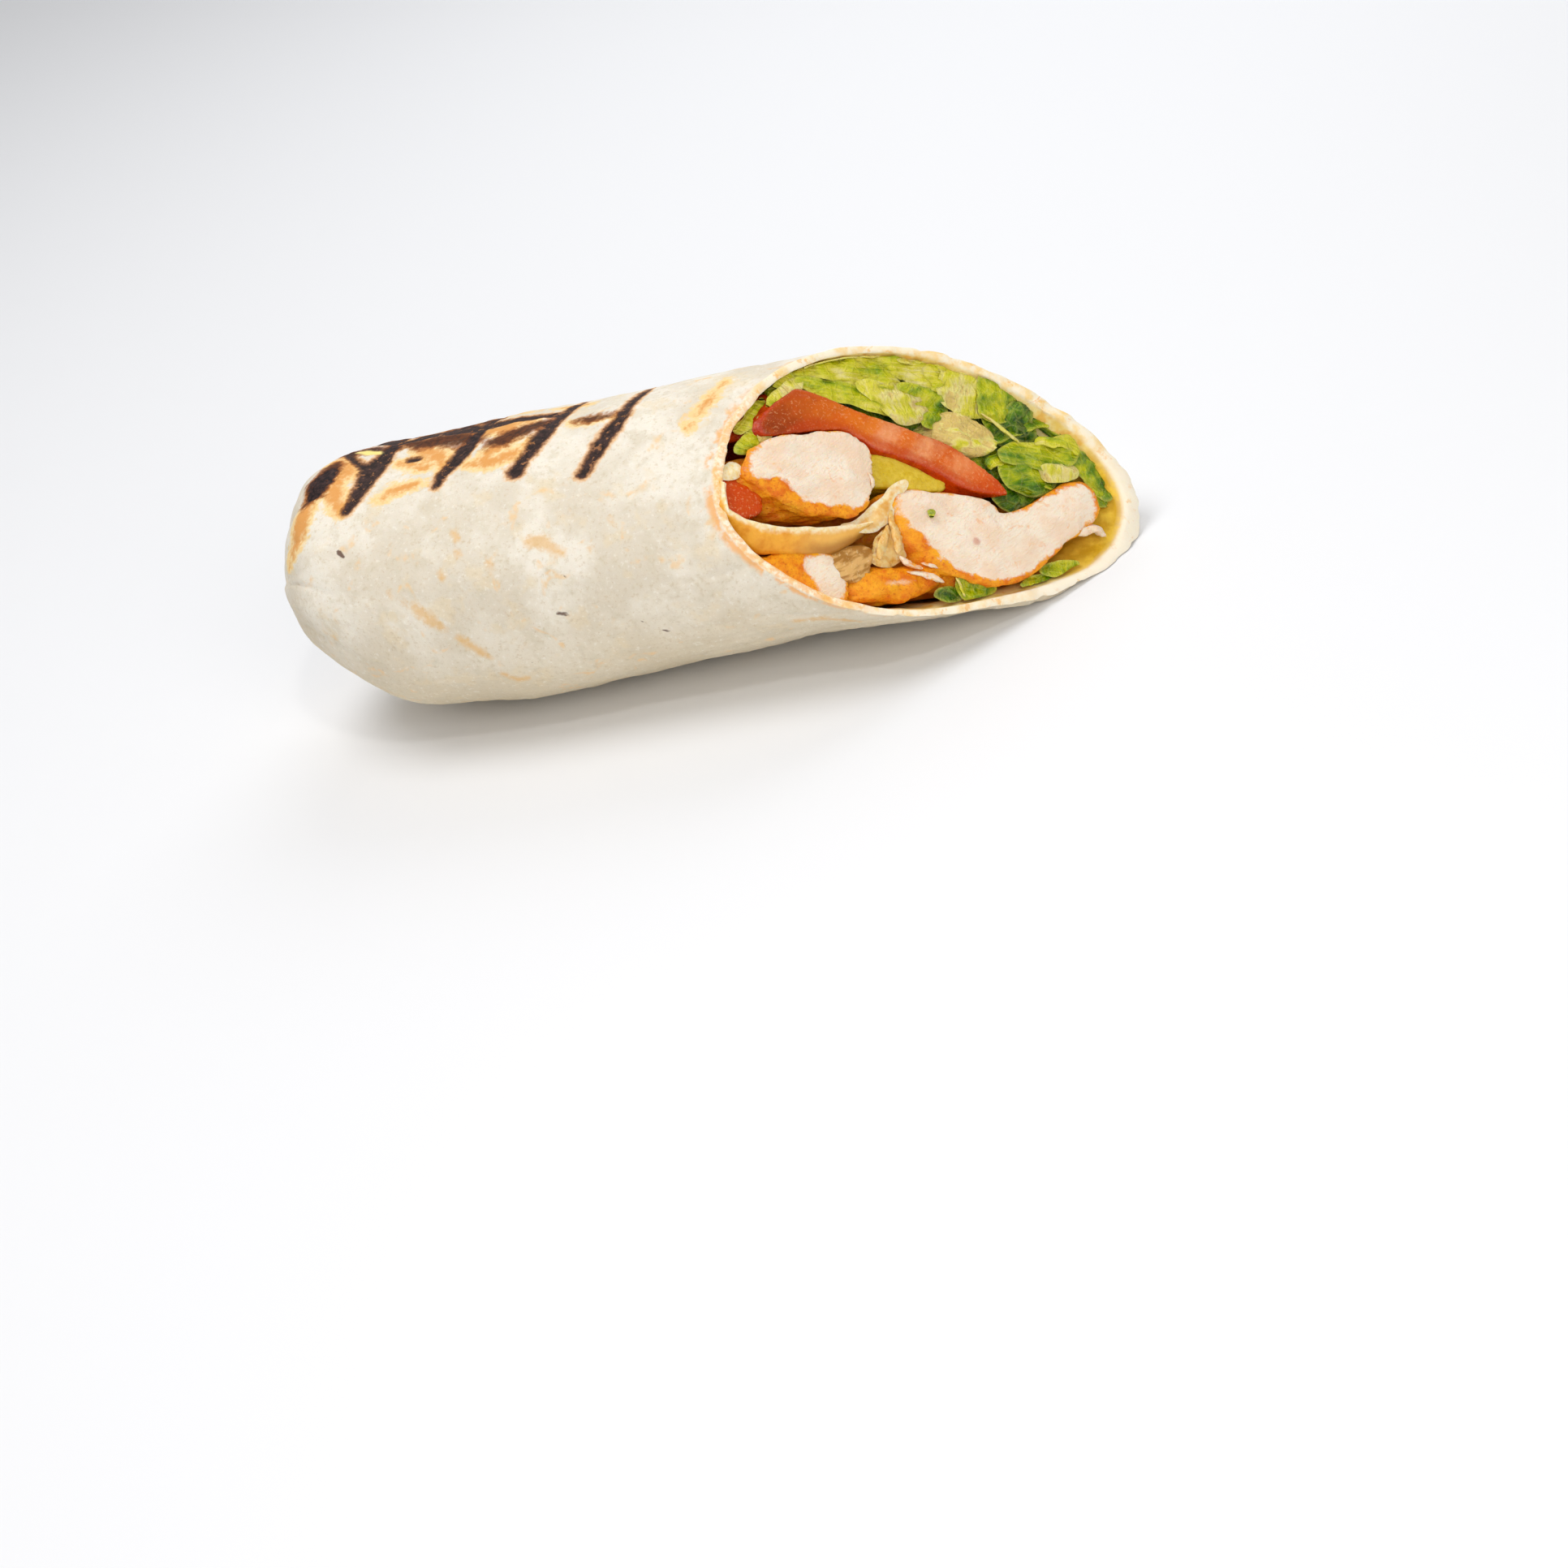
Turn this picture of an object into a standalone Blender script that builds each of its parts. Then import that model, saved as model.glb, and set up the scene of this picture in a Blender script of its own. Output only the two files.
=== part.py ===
# One half of a chicken doner wrap, cut on the slant. It lies flat on z = 0 with its
# charred, folded end towards -X and its cut face towards +X, -Y and up.
import math

import bmesh
import bpy
import numpy as np
from mathutils import Vector, noise
from mathutils.geometry import tessellate_polygon

MM = 0.001

# Driving dimensions, in millimetres. A section is a place (y, z) seen from the cut end,
# measured from the axis of the wrap.
CUT_X = 124.5               # folded end to the middle of the cut
CUT_SLOPE = (0.75, -0.95)   # how far the cut moves along X for each mm of y and z
AXIS_HEIGHT = 26.2          # floor to axis; what would reach lower is flat on the floor
HALF_WIDTH = 27.7
HALF_HEIGHT = 25.2
SQUARENESS = 2.2            # 2 is an ellipse, more is a rounded box
RIM_WAVES = ((1, 0.022, -0.012), (2, 0.005, -0.017), (3, -0.051, 0.0), (4, 0.011, 0.007))
BODY_WAVE_SHARE = 0.5       # how much of the rim's waviness the body keeps
PROFILE = ((0, 0.10), (1.2, 0.26), (4, 0.44), (8, 0.61), (14, 0.80), (22, 0.94), (34, 1.02),
           (49, 1.06), (66, 1.03), (84, 1.0), (104, 0.98), (124, 1.0), (165, 1.0))
NOSE_LIFT = 2.5             # how much higher than the axis the folded end comes to its tip
WALL = 2.3
WALL_CHANGE = 0.5           # thinner towards the upper near side, thicker opposite
THIN_SIDE = math.radians(130)
FOLDED_END = 14.0           # thickness of the folded tortilla at the closed end
SEAM_ANGLE = math.radians(-62)
SEAM_STEP = 1.5             # height of the outer edge of the tortilla
SEAM_SPREAD = 0.2           # share of a turn over which it flattens out
DENT = 0.45
INNER_END_ANGLE = math.radians(155)
INNER_END_HALF = 0.85       # half the thickness of the tortilla's inner end
INNER_END = ((-24.6, 11.4), (-22.6, 8.0), (-20.6, 5.4), (-17.6, 2.8), (-14.0, -0.4),
             (-10.6, -1.9), (-6.9, -1.1), (-4.2, 0.2), (-2.4, 1.8))
FILLING_START = 1.2         # first of the filling behind the folded end
GAP = 1.0                   # between a filling and the tortilla
DEEPER = (0.82, 0.52, 0.2, 0.08, 0.0)   # rings of a filling, as shares of the way to the cut

# The salad heap: shreds that follow the tortilla, as radius and two angles, and the
# folds of the leaves that show below them.
SALAD_ARCS = ((21.6, 70, 46), (21.8, 43, 24), (21.6, 19, -2), (22.2, -6, -24), (18.6, 68, 50),
              (18.8, 45, 28), (15.6, 56, 42), (15.4, 36, 22), (12.9, 46, 32))
SALAD_FOLDS = (((11.6, -4.4), (22.0, -5.8)), ((11.2, -7.2), (21.6, -8.8)),
               ((12.4, -9.4), (19.8, -11.2)), ((19.6, 4.0), (18.4, -3.2)))
SALAD_RIB = ((10.8, 1.6), (13.6, 4.6), (17.2, 3.4), (16.6, -0.4), (12.6, -2.4), (11.0, -1.2))
SALAD_DEPTH = 3.2           # the heap's core lies this far behind the cut
RUFFLE = 0.7
RUFFLE_LENGTH = 4.6

COLOURS = {
    "tortilla": ((0.86, 0.76, 0.60), 0.75),
    "chicken": ((0.80, 0.55, 0.36), 0.5),
    "seared chicken": ((0.72, 0.30, 0.06), 0.45),
    "tomato": ((0.62, 0.12, 0.02), 0.25),
    "pickle": ((0.55, 0.50, 0.08), 0.3),
    "lettuce": ((0.42, 0.52, 0.06), 0.45),
    "onion": ((0.62, 0.45, 0.20), 0.35),
}


def start_empty():
    for item in list(bpy.data.objects):
        bpy.data.objects.remove(item, do_unlink=True)


def material(name):
    found = bpy.data.materials.get(name)
    if found:
        return found
    colour, roughness = COLOURS[name]
    made = bpy.data.materials.new(name)
    made.use_nodes = True
    shader = made.node_tree.nodes["Principled BSDF"]
    shader.inputs["Base Color"].default_value = (*colour, 1.0)
    shader.inputs["Roughness"].default_value = roughness
    return made


def solid(name, points, faces, surface):
    mesh = bpy.data.meshes.new(name)
    mesh.from_pydata([tuple(p) for p in np.asarray(points) * MM], [], faces)
    body = bmesh.new()
    body.from_mesh(mesh)
    bmesh.ops.remove_doubles(body, verts=body.verts, dist=1e-6)
    bmesh.ops.triangulate(body, faces=body.faces)
    bmesh.ops.recalc_face_normals(body, faces=body.faces)
    body.to_mesh(mesh)
    body.free()
    mesh.materials.append(material(surface))
    mesh.shade_smooth()
    mesh.set_sharp_from_angle(angle=math.radians(40))
    made = bpy.data.objects.new(name, mesh)
    bpy.context.scene.collection.objects.link(made)
    return made


# ---- the shape of the wrap ----

def profile(x):
    stations, sizes = zip(*PROFILE)
    return np.interp(x, stations, sizes)


def rim_radius(angle, share=1.0):
    flat = abs(math.cos(angle)) / HALF_WIDTH
    tall = abs(math.sin(angle)) / HALF_HEIGHT
    plain = (flat ** SQUARENESS + tall ** SQUARENESS) ** (-1 / SQUARENESS)
    waves = sum(c * math.cos(k * angle) + s * math.sin(k * angle) for k, c, s in RIM_WAVES)
    return plain * (1 + share * waves)


def wall(angle):
    return WALL - WALL_CHANGE * math.cos(angle - THIN_SIDE)


def polar(radius, angle):
    return (radius * math.cos(angle), radius * math.sin(angle))


def cut_at(y, z):
    return CUT_X + CUT_SLOPE[0] * y + CUT_SLOPE[1] * z


def inside(y, z, share, depth=0.0, start=FOLDED_END):
    """Where a place in the section lies, share of the way from the folded end to the cut."""
    x = start + share * (cut_at(y, z) - start) - depth
    size = min(profile(x), 1.0)
    return (x, y * size, AXIS_HEIGHT + z * size + NOSE_LIFT * (1 - size))


def outer_point(turn, share):
    """A point of the outer surface, turn 0 to 1 round from the seam."""
    angle = SEAM_ANGLE + turn * math.tau
    y, z = polar(rim_radius(angle), angle)
    x = share * cut_at(y, z)
    near_cut = min(max((share - 0.55) / 0.4, 0.0), 1.0)
    radius = rim_radius(angle, BODY_WAVE_SHARE + (1 - BODY_WAVE_SHARE) * near_cut)
    radius += SEAM_STEP * max(0.0, 1 - turn / SEAM_SPREAD)
    radius += DENT * noise.noise(Vector((math.cos(angle) * 2, math.sin(angle) * 2, x / 14)))
    size = profile(x)
    y, z = polar(radius * size, angle)
    return (x, y, max(AXIS_HEIGHT + z + NOSE_LIFT * max(1 - size, 0), 0.0))


# ---- outlines in the section ----

def rounded(points):
    """A hand-set outline with each corner cut once."""
    loop = np.array(points, float)
    after = np.roll(loop, -1, axis=0)
    return np.stack([0.75 * loop + 0.25 * after, 0.25 * loop + 0.75 * after], 1).reshape(-1, 2)


def band(spine, half):
    """Outline of a strip with round ends, half its thickness to each side of a line."""
    line = np.array(spine, float)
    half = np.broadcast_to(np.asarray(half, float), len(line))[:, None]
    along = np.gradient(line, axis=0)
    along /= np.linalg.norm(along, axis=1)[:, None]
    side = np.stack([-along[:, 1], along[:, 0]], 1) * half
    first = line[0] - along[0] * half[0]
    last = line[-1] + along[-1] * half[-1]
    return np.vstack([line - side, [last], (line + side)[::-1], [first]])


def normals(loop):
    along = np.roll(loop, -1, axis=0) - np.roll(loop, 1, axis=0)
    along /= np.linalg.norm(along, axis=1)[:, None]
    return np.stack([along[:, 1], -along[:, 0]], 1)


def swell(loop, toward, by):
    """The outline pushed out on the side that faces toward."""
    out = normals(loop)
    facing = np.clip(out @ np.array(toward) / math.hypot(*toward), 0, 1)
    return loop + out * (by * facing)[:, None]


def within_wall(loop):
    """The outline drawn in where it would come too near the tortilla."""
    held = []
    for y, z in loop:
        angle = math.atan2(z, y)
        limit = rim_radius(angle) - wall(angle) - GAP
        held.append(polar(min(math.hypot(y, z), limit), angle))
    return np.array(held)


def skin(rings):
    """Faces between closed rings of equal length, by index."""
    count = len(rings[0])
    faces = []
    for row in range(len(rings) - 1):
        for i in range(count):
            j = (i + 1) % count
            a, b = row * count, (row + 1) * count
            faces.append((a + i, a + j, b + j, b + i))
    return faces


# ---- the tortilla ----

def inner_outline():
    """The cavity: round the wall, then in along the tortilla's inner end and back out."""
    steps = 42
    room = INNER_END_HALF / rim_radius(INNER_END_ANGLE) * 1.3
    loop = []
    for i in range(steps):
        angle = INNER_END_ANGLE + room + (math.tau - 2 * room) * i / (steps - 1)
        loop.append(polar(rim_radius(angle) - wall(angle), angle))
    flap = band(INNER_END, INNER_END_HALF)
    count = len(INNER_END)
    upper = flap[count + 1:2 * count][::-1]
    lower = flap[:count][::-1]
    return np.vstack([loop, upper[1:], [flap[count]], lower[:-1]])


def tortilla():
    turns = np.linspace(0, 0.994, 52)
    shares = (0.008, 0.022, 0.045, 0.08, 0.13, 0.19, 0.26, 0.34, 0.43, 0.52,
              0.61, 0.70, 0.79, 0.87, 0.94, 0.985, 1.0)
    outer = [[outer_point(turn, share) for turn in turns] for share in shares]
    section = inner_outline()
    depths = (1.0, 0.985, 0.93, 0.82, 0.68, 0.52, 0.36, 0.2, 0.08, 0.0)
    inner = [[inside(y, z, share) for y, z in section] for share in depths]

    points = [p for ring in outer for p in ring]
    faces = skin(outer)
    tip = len(points)
    points.append((0.0, 0.0, AXIS_HEIGHT + NOSE_LIFT))
    faces += [((i + 1) % len(turns), i, tip) for i in range(len(turns))]

    base = len(points)
    points += [p for ring in inner for p in ring]
    faces += [tuple(base + i for i in face) for face in skin(inner)]
    floor = base + len(section) * (len(depths) - 1)
    flat = [[Vector((y, z, 0)) for y, z in section]]
    faces += [tuple(floor + i for i in face) for face in tessellate_polygon(flat)]

    edge = len(turns) * (len(shares) - 1)
    rim = [Vector((y, z - AXIS_HEIGHT, 0)) for x, y, z in outer[-1]]
    for face in tessellate_polygon([rim, flat[0]]):
        faces.append(tuple(edge + i if i < len(rim) else base + i - len(rim) for i in face))
    return solid("tortilla", points, faces, "tortilla")


# ---- the fillings ----

def filling_rings(face, belly, front, crown, relief, seed):
    """Rings of one filling from its cut face back to the folded end."""
    middle = face.mean(axis=0)

    def ring(loop, share, depth, rough):
        made = []
        for y, z in loop:
            bump = rough * noise.noise(Vector((y / 4 + seed, z / 4, depth / 5)))
            made.append(inside(y, z, share, depth + bump, FOLDED_END + FILLING_START))
        return made

    rings = [ring(middle + (face - middle) * 0.45, 1, front - crown, relief),
             ring(middle + (face - middle) * 0.8, 1, front - 0.8 * crown, relief),
             ring(middle + (face - middle) * 0.95, 1, front, relief / 2),
             ring(face, 1, front + 1.2, 0)]
    rings += [ring(belly, 1, front + 4, 0)]
    rings += [ring(belly, share, 0, 0) for share in DEEPER]
    return rings


def filling(name, face, surface, belly=None, front=0.0, crown=0.4, relief=0.5, seed=0):
    belly = within_wall(face if belly is None else belly)
    face = within_wall(face)
    rings = filling_rings(face, belly, front, crown, relief, seed)
    count = len(face)
    points = [p for ring in rings for p in ring]
    faces = skin(rings)
    for start, loop in ((0, face), (count * (len(rings) - 1), belly)):
        flat = [[Vector((y, z, 0)) for y, z in loop]]
        faces += [tuple(start + i for i in face) for face in tessellate_polygon(flat)]
    return solid(name, points, faces, surface)


def chicken():
    left = rounded([(-13.4, 15.4), (-8.8, 17.8), (-3.6, 15.8), (0.2, 12.2), (0.4, 6.6),
                    (-4.8, 2.0), (-9.8, 2.0), (-13.9, 5.6), (-15.4, 11.0)])
    filling("chicken_left", left, "chicken", swell(left, (-1, -1.2), 1.1), front=-1.2, seed=1)
    right = rounded([(-5.2, -2.6), (-0.6, -2.0), (3.0, -5.6), (3.2, -9.6), (8.0, -11.9),
                     (14.0, -13.0), (18.4, -14.6), (15.8, -18.0), (10.6, -19.8), (2.0, -19.8),
                     (-6.0, -19.8), (-8.6, -15.6), (-8.6, -8.4)])
    filling("chicken_right", right, "chicken", swell(right, (-1, -0.6), 0.5), front=-1.0,
            crown=0.8, seed=2)
    low_left = rounded([(-24.4, 1.4), (-21.0, 1.0), (-17.6, -1.4), (-18.0, -5.0),
                        (-20.6, -8.6), (-24.2, -9.4), (-26.0, -5.0)])
    filling("chicken_low_left", low_left, "chicken", front=3.0, seed=3)
    low_mid = rounded([(-19.4, -9.8), (-16.2, -7.8), (-12.6, -9.2), (-10.2, -11.8),
                       (-10.8, -14.0), (-14.0, -13.4), (-18.4, -13.0), (-21.0, -12.0)])
    filling("chicken_low_mid", low_mid, "seared chicken", front=2.0, seed=4)


def vegetables():
    slice_line = ((-1.6, 19.2), (2.4, 16.4), (4.9, 10.6), (5.6, 5.0), (6.6, -0.8), (7.8, -6.8))
    tomato = band(slice_line, (2.0, 2.5, 2.2, 2.4, 2.5, 1.3))
    filling("tomato_slice", tomato, "tomato", front=-0.6, relief=0.2, seed=5)
    scrap = rounded([(-21.6, 13.2), (-18.8, 14.4), (-16.8, 11.6), (-17.6, 7.2), (-20.6, 8.6)])
    filling("tomato_bit", scrap, "tomato", front=2.0, relief=0.2, seed=6)
    pickle = rounded([(0.4, 5.4), (2.2, 5.2), (2.6, 0.4), (2.9, -4.2), (0.6, -1.0), (-1.2, 1.6)])
    filling("pickle_slice", pickle, "pickle", front=2.0, relief=0.2, seed=7)
    onion = rounded([(-16.6, -2.8), (-12.2, -3.8), (-11.8, -5.8), (-14.0, -7.2), (-17.0, -5.4)])
    filling("onion_slice", onion, "onion", front=2.5, relief=0.3, seed=8)
    strand = band(((-7.6, -3.4), (-9.9, -5.2), (-10.6, -8.4)), (0.5, 0.7, 0.6))
    filling("onion_strand", strand, "onion", front=1.0, relief=0.2, seed=9)


def lettuce():
    upper = [polar(22.0, math.radians(a)) for a in (135, 128, 121, 114, 107, 101)]
    filling("lettuce_left", band(upper, 0.6), "lettuce", front=0.0, relief=0.4, seed=10)
    low = ((-14.4, -15.2), (-12.0, -16.5), (-9.4, -18.6))
    filling("lettuce_low", band(low, (0.5, 0.7, 0.6)), "lettuce", front=2.0, seed=11)
    right = [polar(r, math.radians(a)) for r, a in ((21.6, -88), (22.7, -76), (23.6, -66), (24.3, -56))]
    filling("lettuce_right", band(right, (0.4, 0.6, 0.7, 0.5)), "lettuce", front=1.5, seed=12)


def shred(name, line, half, front, back):
    """A short wavy strip on edge, as deep as from front to back behind the cut."""
    line = np.array(line, float)
    step = np.linalg.norm(np.diff(line, axis=0), axis=1)
    length = np.concatenate([[0], np.cumsum(step)])
    wave = RUFFLE * np.sin(length * math.tau / RUFFLE_LENGTH)
    along = np.gradient(line, axis=0)
    along /= np.linalg.norm(along, axis=1)[:, None]
    line = line + np.stack([-along[:, 1], along[:, 0]], 1) * wave[:, None]
    loop = within_wall(band(line, half))
    rings = [[inside(y, z, 1, depth) for y, z in loop] for depth in (front, back)]
    count = len(loop)
    faces = skin(rings)
    for start in (0, count):
        flat = [[Vector((y, z, 0)) for y, z in loop]]
        faces += [tuple(start + i for i in face) for face in tessellate_polygon(flat)]
    return solid(name, [p for ring in rings for p in ring], faces, "lettuce")


def fuse(core, pieces):
    """One union of the pieces with the core."""
    group = bpy.data.collections.new("pieces")
    for piece in pieces:
        group.objects.link(piece)
    union = core.modifiers.new("union", "BOOLEAN")
    union.operation = "UNION"
    union.operand_type = "COLLECTION"
    union.collection = group
    scene = bpy.context.evaluated_depsgraph_get()
    core.data = bpy.data.meshes.new_from_object(core.evaluated_get(scene))
    core.modifiers.clear()
    for piece in pieces:
        bpy.data.objects.remove(piece, do_unlink=True)
    bpy.data.collections.remove(group)


def salad():
    outline = rounded([(6.4, 19.4), (9.0, 21.6), (14.6, 19.4), (21.4, 13.4), (25.0, 6.0),
                       (25.8, -4.0), (23.6, -12.4), (19.4, -14.0), (14.0, -11.4),
                       (10.0, -10.4), (11.0, -4.6), (10.2, 1.6), (8.6, 9.0), (7.8, 14.6)])
    core = filling("salad_heap", outline, "lettuce", front=SALAD_DEPTH, relief=1.0, seed=13)
    pieces = []
    for radius, first, last in SALAD_ARCS:
        count = max(6, round(abs(first - last) / 3.5))
        arc = [polar(radius, math.radians(a)) for a in np.linspace(first, last, count)]
        pieces.append(shred("shred", arc, 0.55, -0.6 + 0.4 * (radius % 2), SALAD_DEPTH + 2))
    for first, last in SALAD_FOLDS:
        fold = np.linspace(first, last, 11)
        pieces.append(shred("fold", fold, 0.6, -0.8, SALAD_DEPTH + 2))
    pieces.append(filling("rib", rounded(SALAD_RIB), "lettuce", front=0.6, seed=14))
    fuse(core, pieces)


def stand_on_origin():
    """Move the pieces so that the middle of the wrap's box is over the origin."""
    corners = np.array([v.co for v in bpy.data.objects["tortilla"].data.vertices])
    middle = (corners.min(axis=0) + corners.max(axis=0)) / 2
    for item in bpy.data.objects:
        item.location.x -= middle[0]
        item.location.y -= middle[1]


def main():
    start_empty()
    tortilla()
    chicken()
    vegetables()
    lettuce()
    salad()
    stand_on_origin()


main()
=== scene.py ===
import itertools
import math

import bmesh
import bpy
import numpy as np
from mathutils import Matrix, Vector
from mathutils.geometry import delaunay_2d_cdt, tessellate_polygon


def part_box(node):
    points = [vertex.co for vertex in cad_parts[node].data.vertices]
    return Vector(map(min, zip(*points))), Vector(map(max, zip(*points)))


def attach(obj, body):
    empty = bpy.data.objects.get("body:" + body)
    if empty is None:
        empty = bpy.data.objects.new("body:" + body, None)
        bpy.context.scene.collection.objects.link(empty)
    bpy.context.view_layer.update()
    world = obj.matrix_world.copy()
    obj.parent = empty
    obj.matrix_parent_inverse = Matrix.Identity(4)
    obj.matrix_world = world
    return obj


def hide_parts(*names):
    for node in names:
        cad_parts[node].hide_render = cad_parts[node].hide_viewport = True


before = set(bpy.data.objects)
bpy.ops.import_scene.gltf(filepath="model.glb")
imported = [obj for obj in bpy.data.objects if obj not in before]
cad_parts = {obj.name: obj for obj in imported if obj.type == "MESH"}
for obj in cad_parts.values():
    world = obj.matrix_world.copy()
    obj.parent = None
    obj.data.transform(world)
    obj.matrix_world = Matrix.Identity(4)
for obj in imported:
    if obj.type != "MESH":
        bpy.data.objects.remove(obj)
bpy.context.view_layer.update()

mm = 0.001
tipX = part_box("tortilla")[0].x / mm      # x of the folded end

# The wrap is a tube round an axis. A section is (y, z) in mm from that axis, seen from
# the cut end; the cut is a slanted plane, and depth is how far behind it a thing lies.
wrap = {
    "axisY": 0.17, "axisHeight": 26.2,
    "cutX": 124.5, "slopeY": 0.75, "slopeZ": -0.95,
    "halfWidth": 27.7, "halfHeight": 25.2, "squareness": 2.2,
    "rimWaves": ((1, 0.022, -0.012), (2, 0.005, -0.017), (3, -0.051, 0.0), (4, 0.011, 0.007)),
    "bodyWaveShare": 0.5, "rimShapeFrom": 0.55, "rimShapeOver": 0.4,
    "profile": ((0, 0.10), (1.2, 0.26), (4, 0.44), (8, 0.61), (14, 0.80), (22, 0.94), (34, 1.02),
                (49, 1.06), (66, 1.03), (84, 1.0), (104, 0.98), (124, 1.0), (165, 1.0)),
    "profileStart": 0.16, "radius": 26.0,
    "tipLift": 2.5, "noseFlat": (3.2, 8),          # how much, and how far back it fades
    "noseLift": ((3.5, 10, 10),),                  # how much, at which x, how far it spreads
    "topTrim": ((2.9, 42, 22), (1.0, 72, 16)),
    "wall": 2.3, "wallChange": 0.5, "thinSide": 130,
    "lip": 1.35, "lipChange": 0.2, "lipDepth": 7.0,
    "foldedEnd": 14.0, "fillingStart": 15.2,
    "seam": -62, "seamStep": 1.5, "seamSpread": 0.2,
}


def ease(t):
    t = np.clip(t, 0.0, 1.0)
    return t * t * (3 - 2 * t)


def lumps(points, size, seed=0, octaves=1):
    # smooth value noise from -1 to 1 at points in mm
    points = np.asarray(points, float)
    total = np.zeros(points.shape[:-1])
    for octave in range(octaves):
        table = np.random.default_rng(seed * 7 + octave).random((32, 32, 32)) * 2 - 1
        where = points / size * 2 ** octave + 11.7 * (seed % 13)
        cell = np.floor(where).astype(int)
        part = where - cell
        part = part ** 3 * (part * (part * 6 - 15) + 10)
        value = 0
        for corner in itertools.product((0, 1), repeat=3):
            share = np.prod(np.where(corner, part, 1 - part), axis=-1)
            near = (cell + corner) & 31
            value = value + share * table[near[..., 0], near[..., 1], near[..., 2]]
        total += value * 0.5 ** octave
    return total


def curve(points, count, closed=False):
    # evenly spaced places on a smooth line through given points
    p = np.array(points, float)
    if closed:
        p = np.vstack([p[-1:], p, p[:2]])
    else:
        p = np.vstack([2 * p[0] - p[1], p, 2 * p[-1] - p[-2]])
    t = np.linspace(0, 1, 16, endpoint=False)[:, None]
    bits = [0.5 * (2 * b + (c - a) * t + (2 * a - 5 * b + 4 * c - d) * t ** 2
                   + (3 * b - a - 3 * c + d) * t ** 3)
            for a, b, c, d in zip(p[:-3], p[1:-2], p[2:-1], p[3:])]
    line = np.vstack(bits + [p[-2:-1]])
    reach = np.concatenate([[0], np.cumsum(np.linalg.norm(np.diff(line, axis=0), axis=1))])
    at = np.linspace(0, reach[-1], count, endpoint=not closed)
    return np.stack([np.interp(at, reach, line[:, k]) for k in range(line.shape[1])], 1)


def rounded(points):
    loop = np.array(points, float)
    after = np.roll(loop, -1, axis=0)
    return np.stack([0.75 * loop + 0.25 * after, 0.25 * loop + 0.75 * after], 1).reshape(-1, 2)


def sideways(line, closed=False):
    # unit vectors square to a line in the section
    if closed:
        along = np.roll(line, -1, axis=0) - np.roll(line, 1, axis=0)
    else:
        along = np.gradient(line, axis=0)
    along = along / np.maximum(np.linalg.norm(along, axis=1)[:, None], 1e-9)
    return np.stack([along[:, 1], -along[:, 0]], 1)


def swell(loop, toward, by):
    out = sideways(loop, closed=True)
    facing = np.clip(out @ np.array(toward) / math.hypot(*toward), 0, 1)
    return loop + out * (by * facing)[:, None]


def gapTo(line, points, closed=True):
    # distance from each point to a line in the section
    a = line if closed else line[:-1]
    b = np.roll(line, -1, axis=0) if closed else line[1:]
    best = np.full(len(points), 1e9)
    for start, end in zip(a, b):
        run = end - start
        t = np.clip((points - start) @ run / max(run @ run, 1e-9), 0, 1)
        best = np.minimum(best, np.linalg.norm(points - start - t[:, None] * run, axis=1))
    return best


def raised(section, third):
    # places in the section with a third number beside each
    return np.stack([section[:, 0], section[:, 1], np.full(len(section), float(third))], 1)


# The shape of the wrap.

def profileAt(x):
    stations, sizes = np.array(wrap["profile"]).T
    slope = np.gradient(sizes, stations)
    slope[0] = wrap["profileStart"]
    x = np.clip(x, stations[0], stations[-1])
    i = np.clip(np.searchsorted(stations, x) - 1, 0, len(stations) - 2)
    step = stations[i + 1] - stations[i]
    t = (x - stations[i]) / step
    return ((1 + 2 * t) * (1 - t) ** 2 * sizes[i] + t * (1 - t) ** 2 * step * slope[i]
            + t * t * (3 - 2 * t) * sizes[i + 1] + t * t * (t - 1) * step * slope[i + 1])


def rimRadius(angle, share=1.0):
    flat = np.abs(np.cos(angle)) / wrap["halfWidth"]
    tall = np.abs(np.sin(angle)) / wrap["halfHeight"]
    power = wrap["squareness"]
    plain = (flat ** power + tall ** power) ** (-1 / power)
    waves = sum(c * np.cos(k * angle) + s * np.sin(k * angle) for k, c, s in wrap["rimWaves"])
    return plain * (1 + share * waves)


def wallAt(angle):
    return wrap["wall"] - wrap["wallChange"] * np.cos(angle - math.radians(wrap["thinSide"]))


def cutAt(y, z):
    return wrap["cutX"] + wrap["slopeY"] * y + wrap["slopeZ"] * z


def lipAt(angle, depth):
    # thickness of the wall as it shows, thin at the cut and full a little behind it
    lip = wrap["lip"] - wrap["lipChange"] * np.cos(angle - math.radians(wrap["thinSide"]))
    return lip + (wallAt(angle) - lip) * ease(np.asarray(depth) / wrap["lipDepth"])


def bellAt(x, bells):
    return sum(size * np.exp(-((x - middle) / spread) ** 2) for size, middle, spread in bells)


def trimAt(x, sine):
    # how much lower the wrap is on its top; sine is that of the angle round the axis
    return bellAt(x, wrap["topTrim"]) * ease(1.4 * sine - 0.4)


def inWrap(section, share=1.0, depth=0.0, start=None):
    # where a place in the section lies, share of the way from the folded end to the cut
    y, z = section[..., 0], section[..., 1]
    start = wrap["fillingStart"] if start is None else start
    x = start + share * (cutAt(y, z) - start) - depth
    size = np.minimum(profileAt(x), 1.0)
    height = wrap["axisHeight"] + z * size + wrap["tipLift"] * (1 - size)
    height = height + bellAt(x, wrap["noseLift"]) - trimAt(x, z / np.maximum(np.hypot(y, z), 1e-6))
    return np.stack([x + tipX, y * size + wrap["axisY"], height], -1)


def withinWall(section, gap):
    angle = np.arctan2(section[..., 1], section[..., 0])
    radius = np.hypot(section[..., 0], section[..., 1])
    limit = rimRadius(angle) - wallAt(angle) - gap
    return section * np.minimum(1.0, limit / np.maximum(radius, 1e-6))[..., None]


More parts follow.
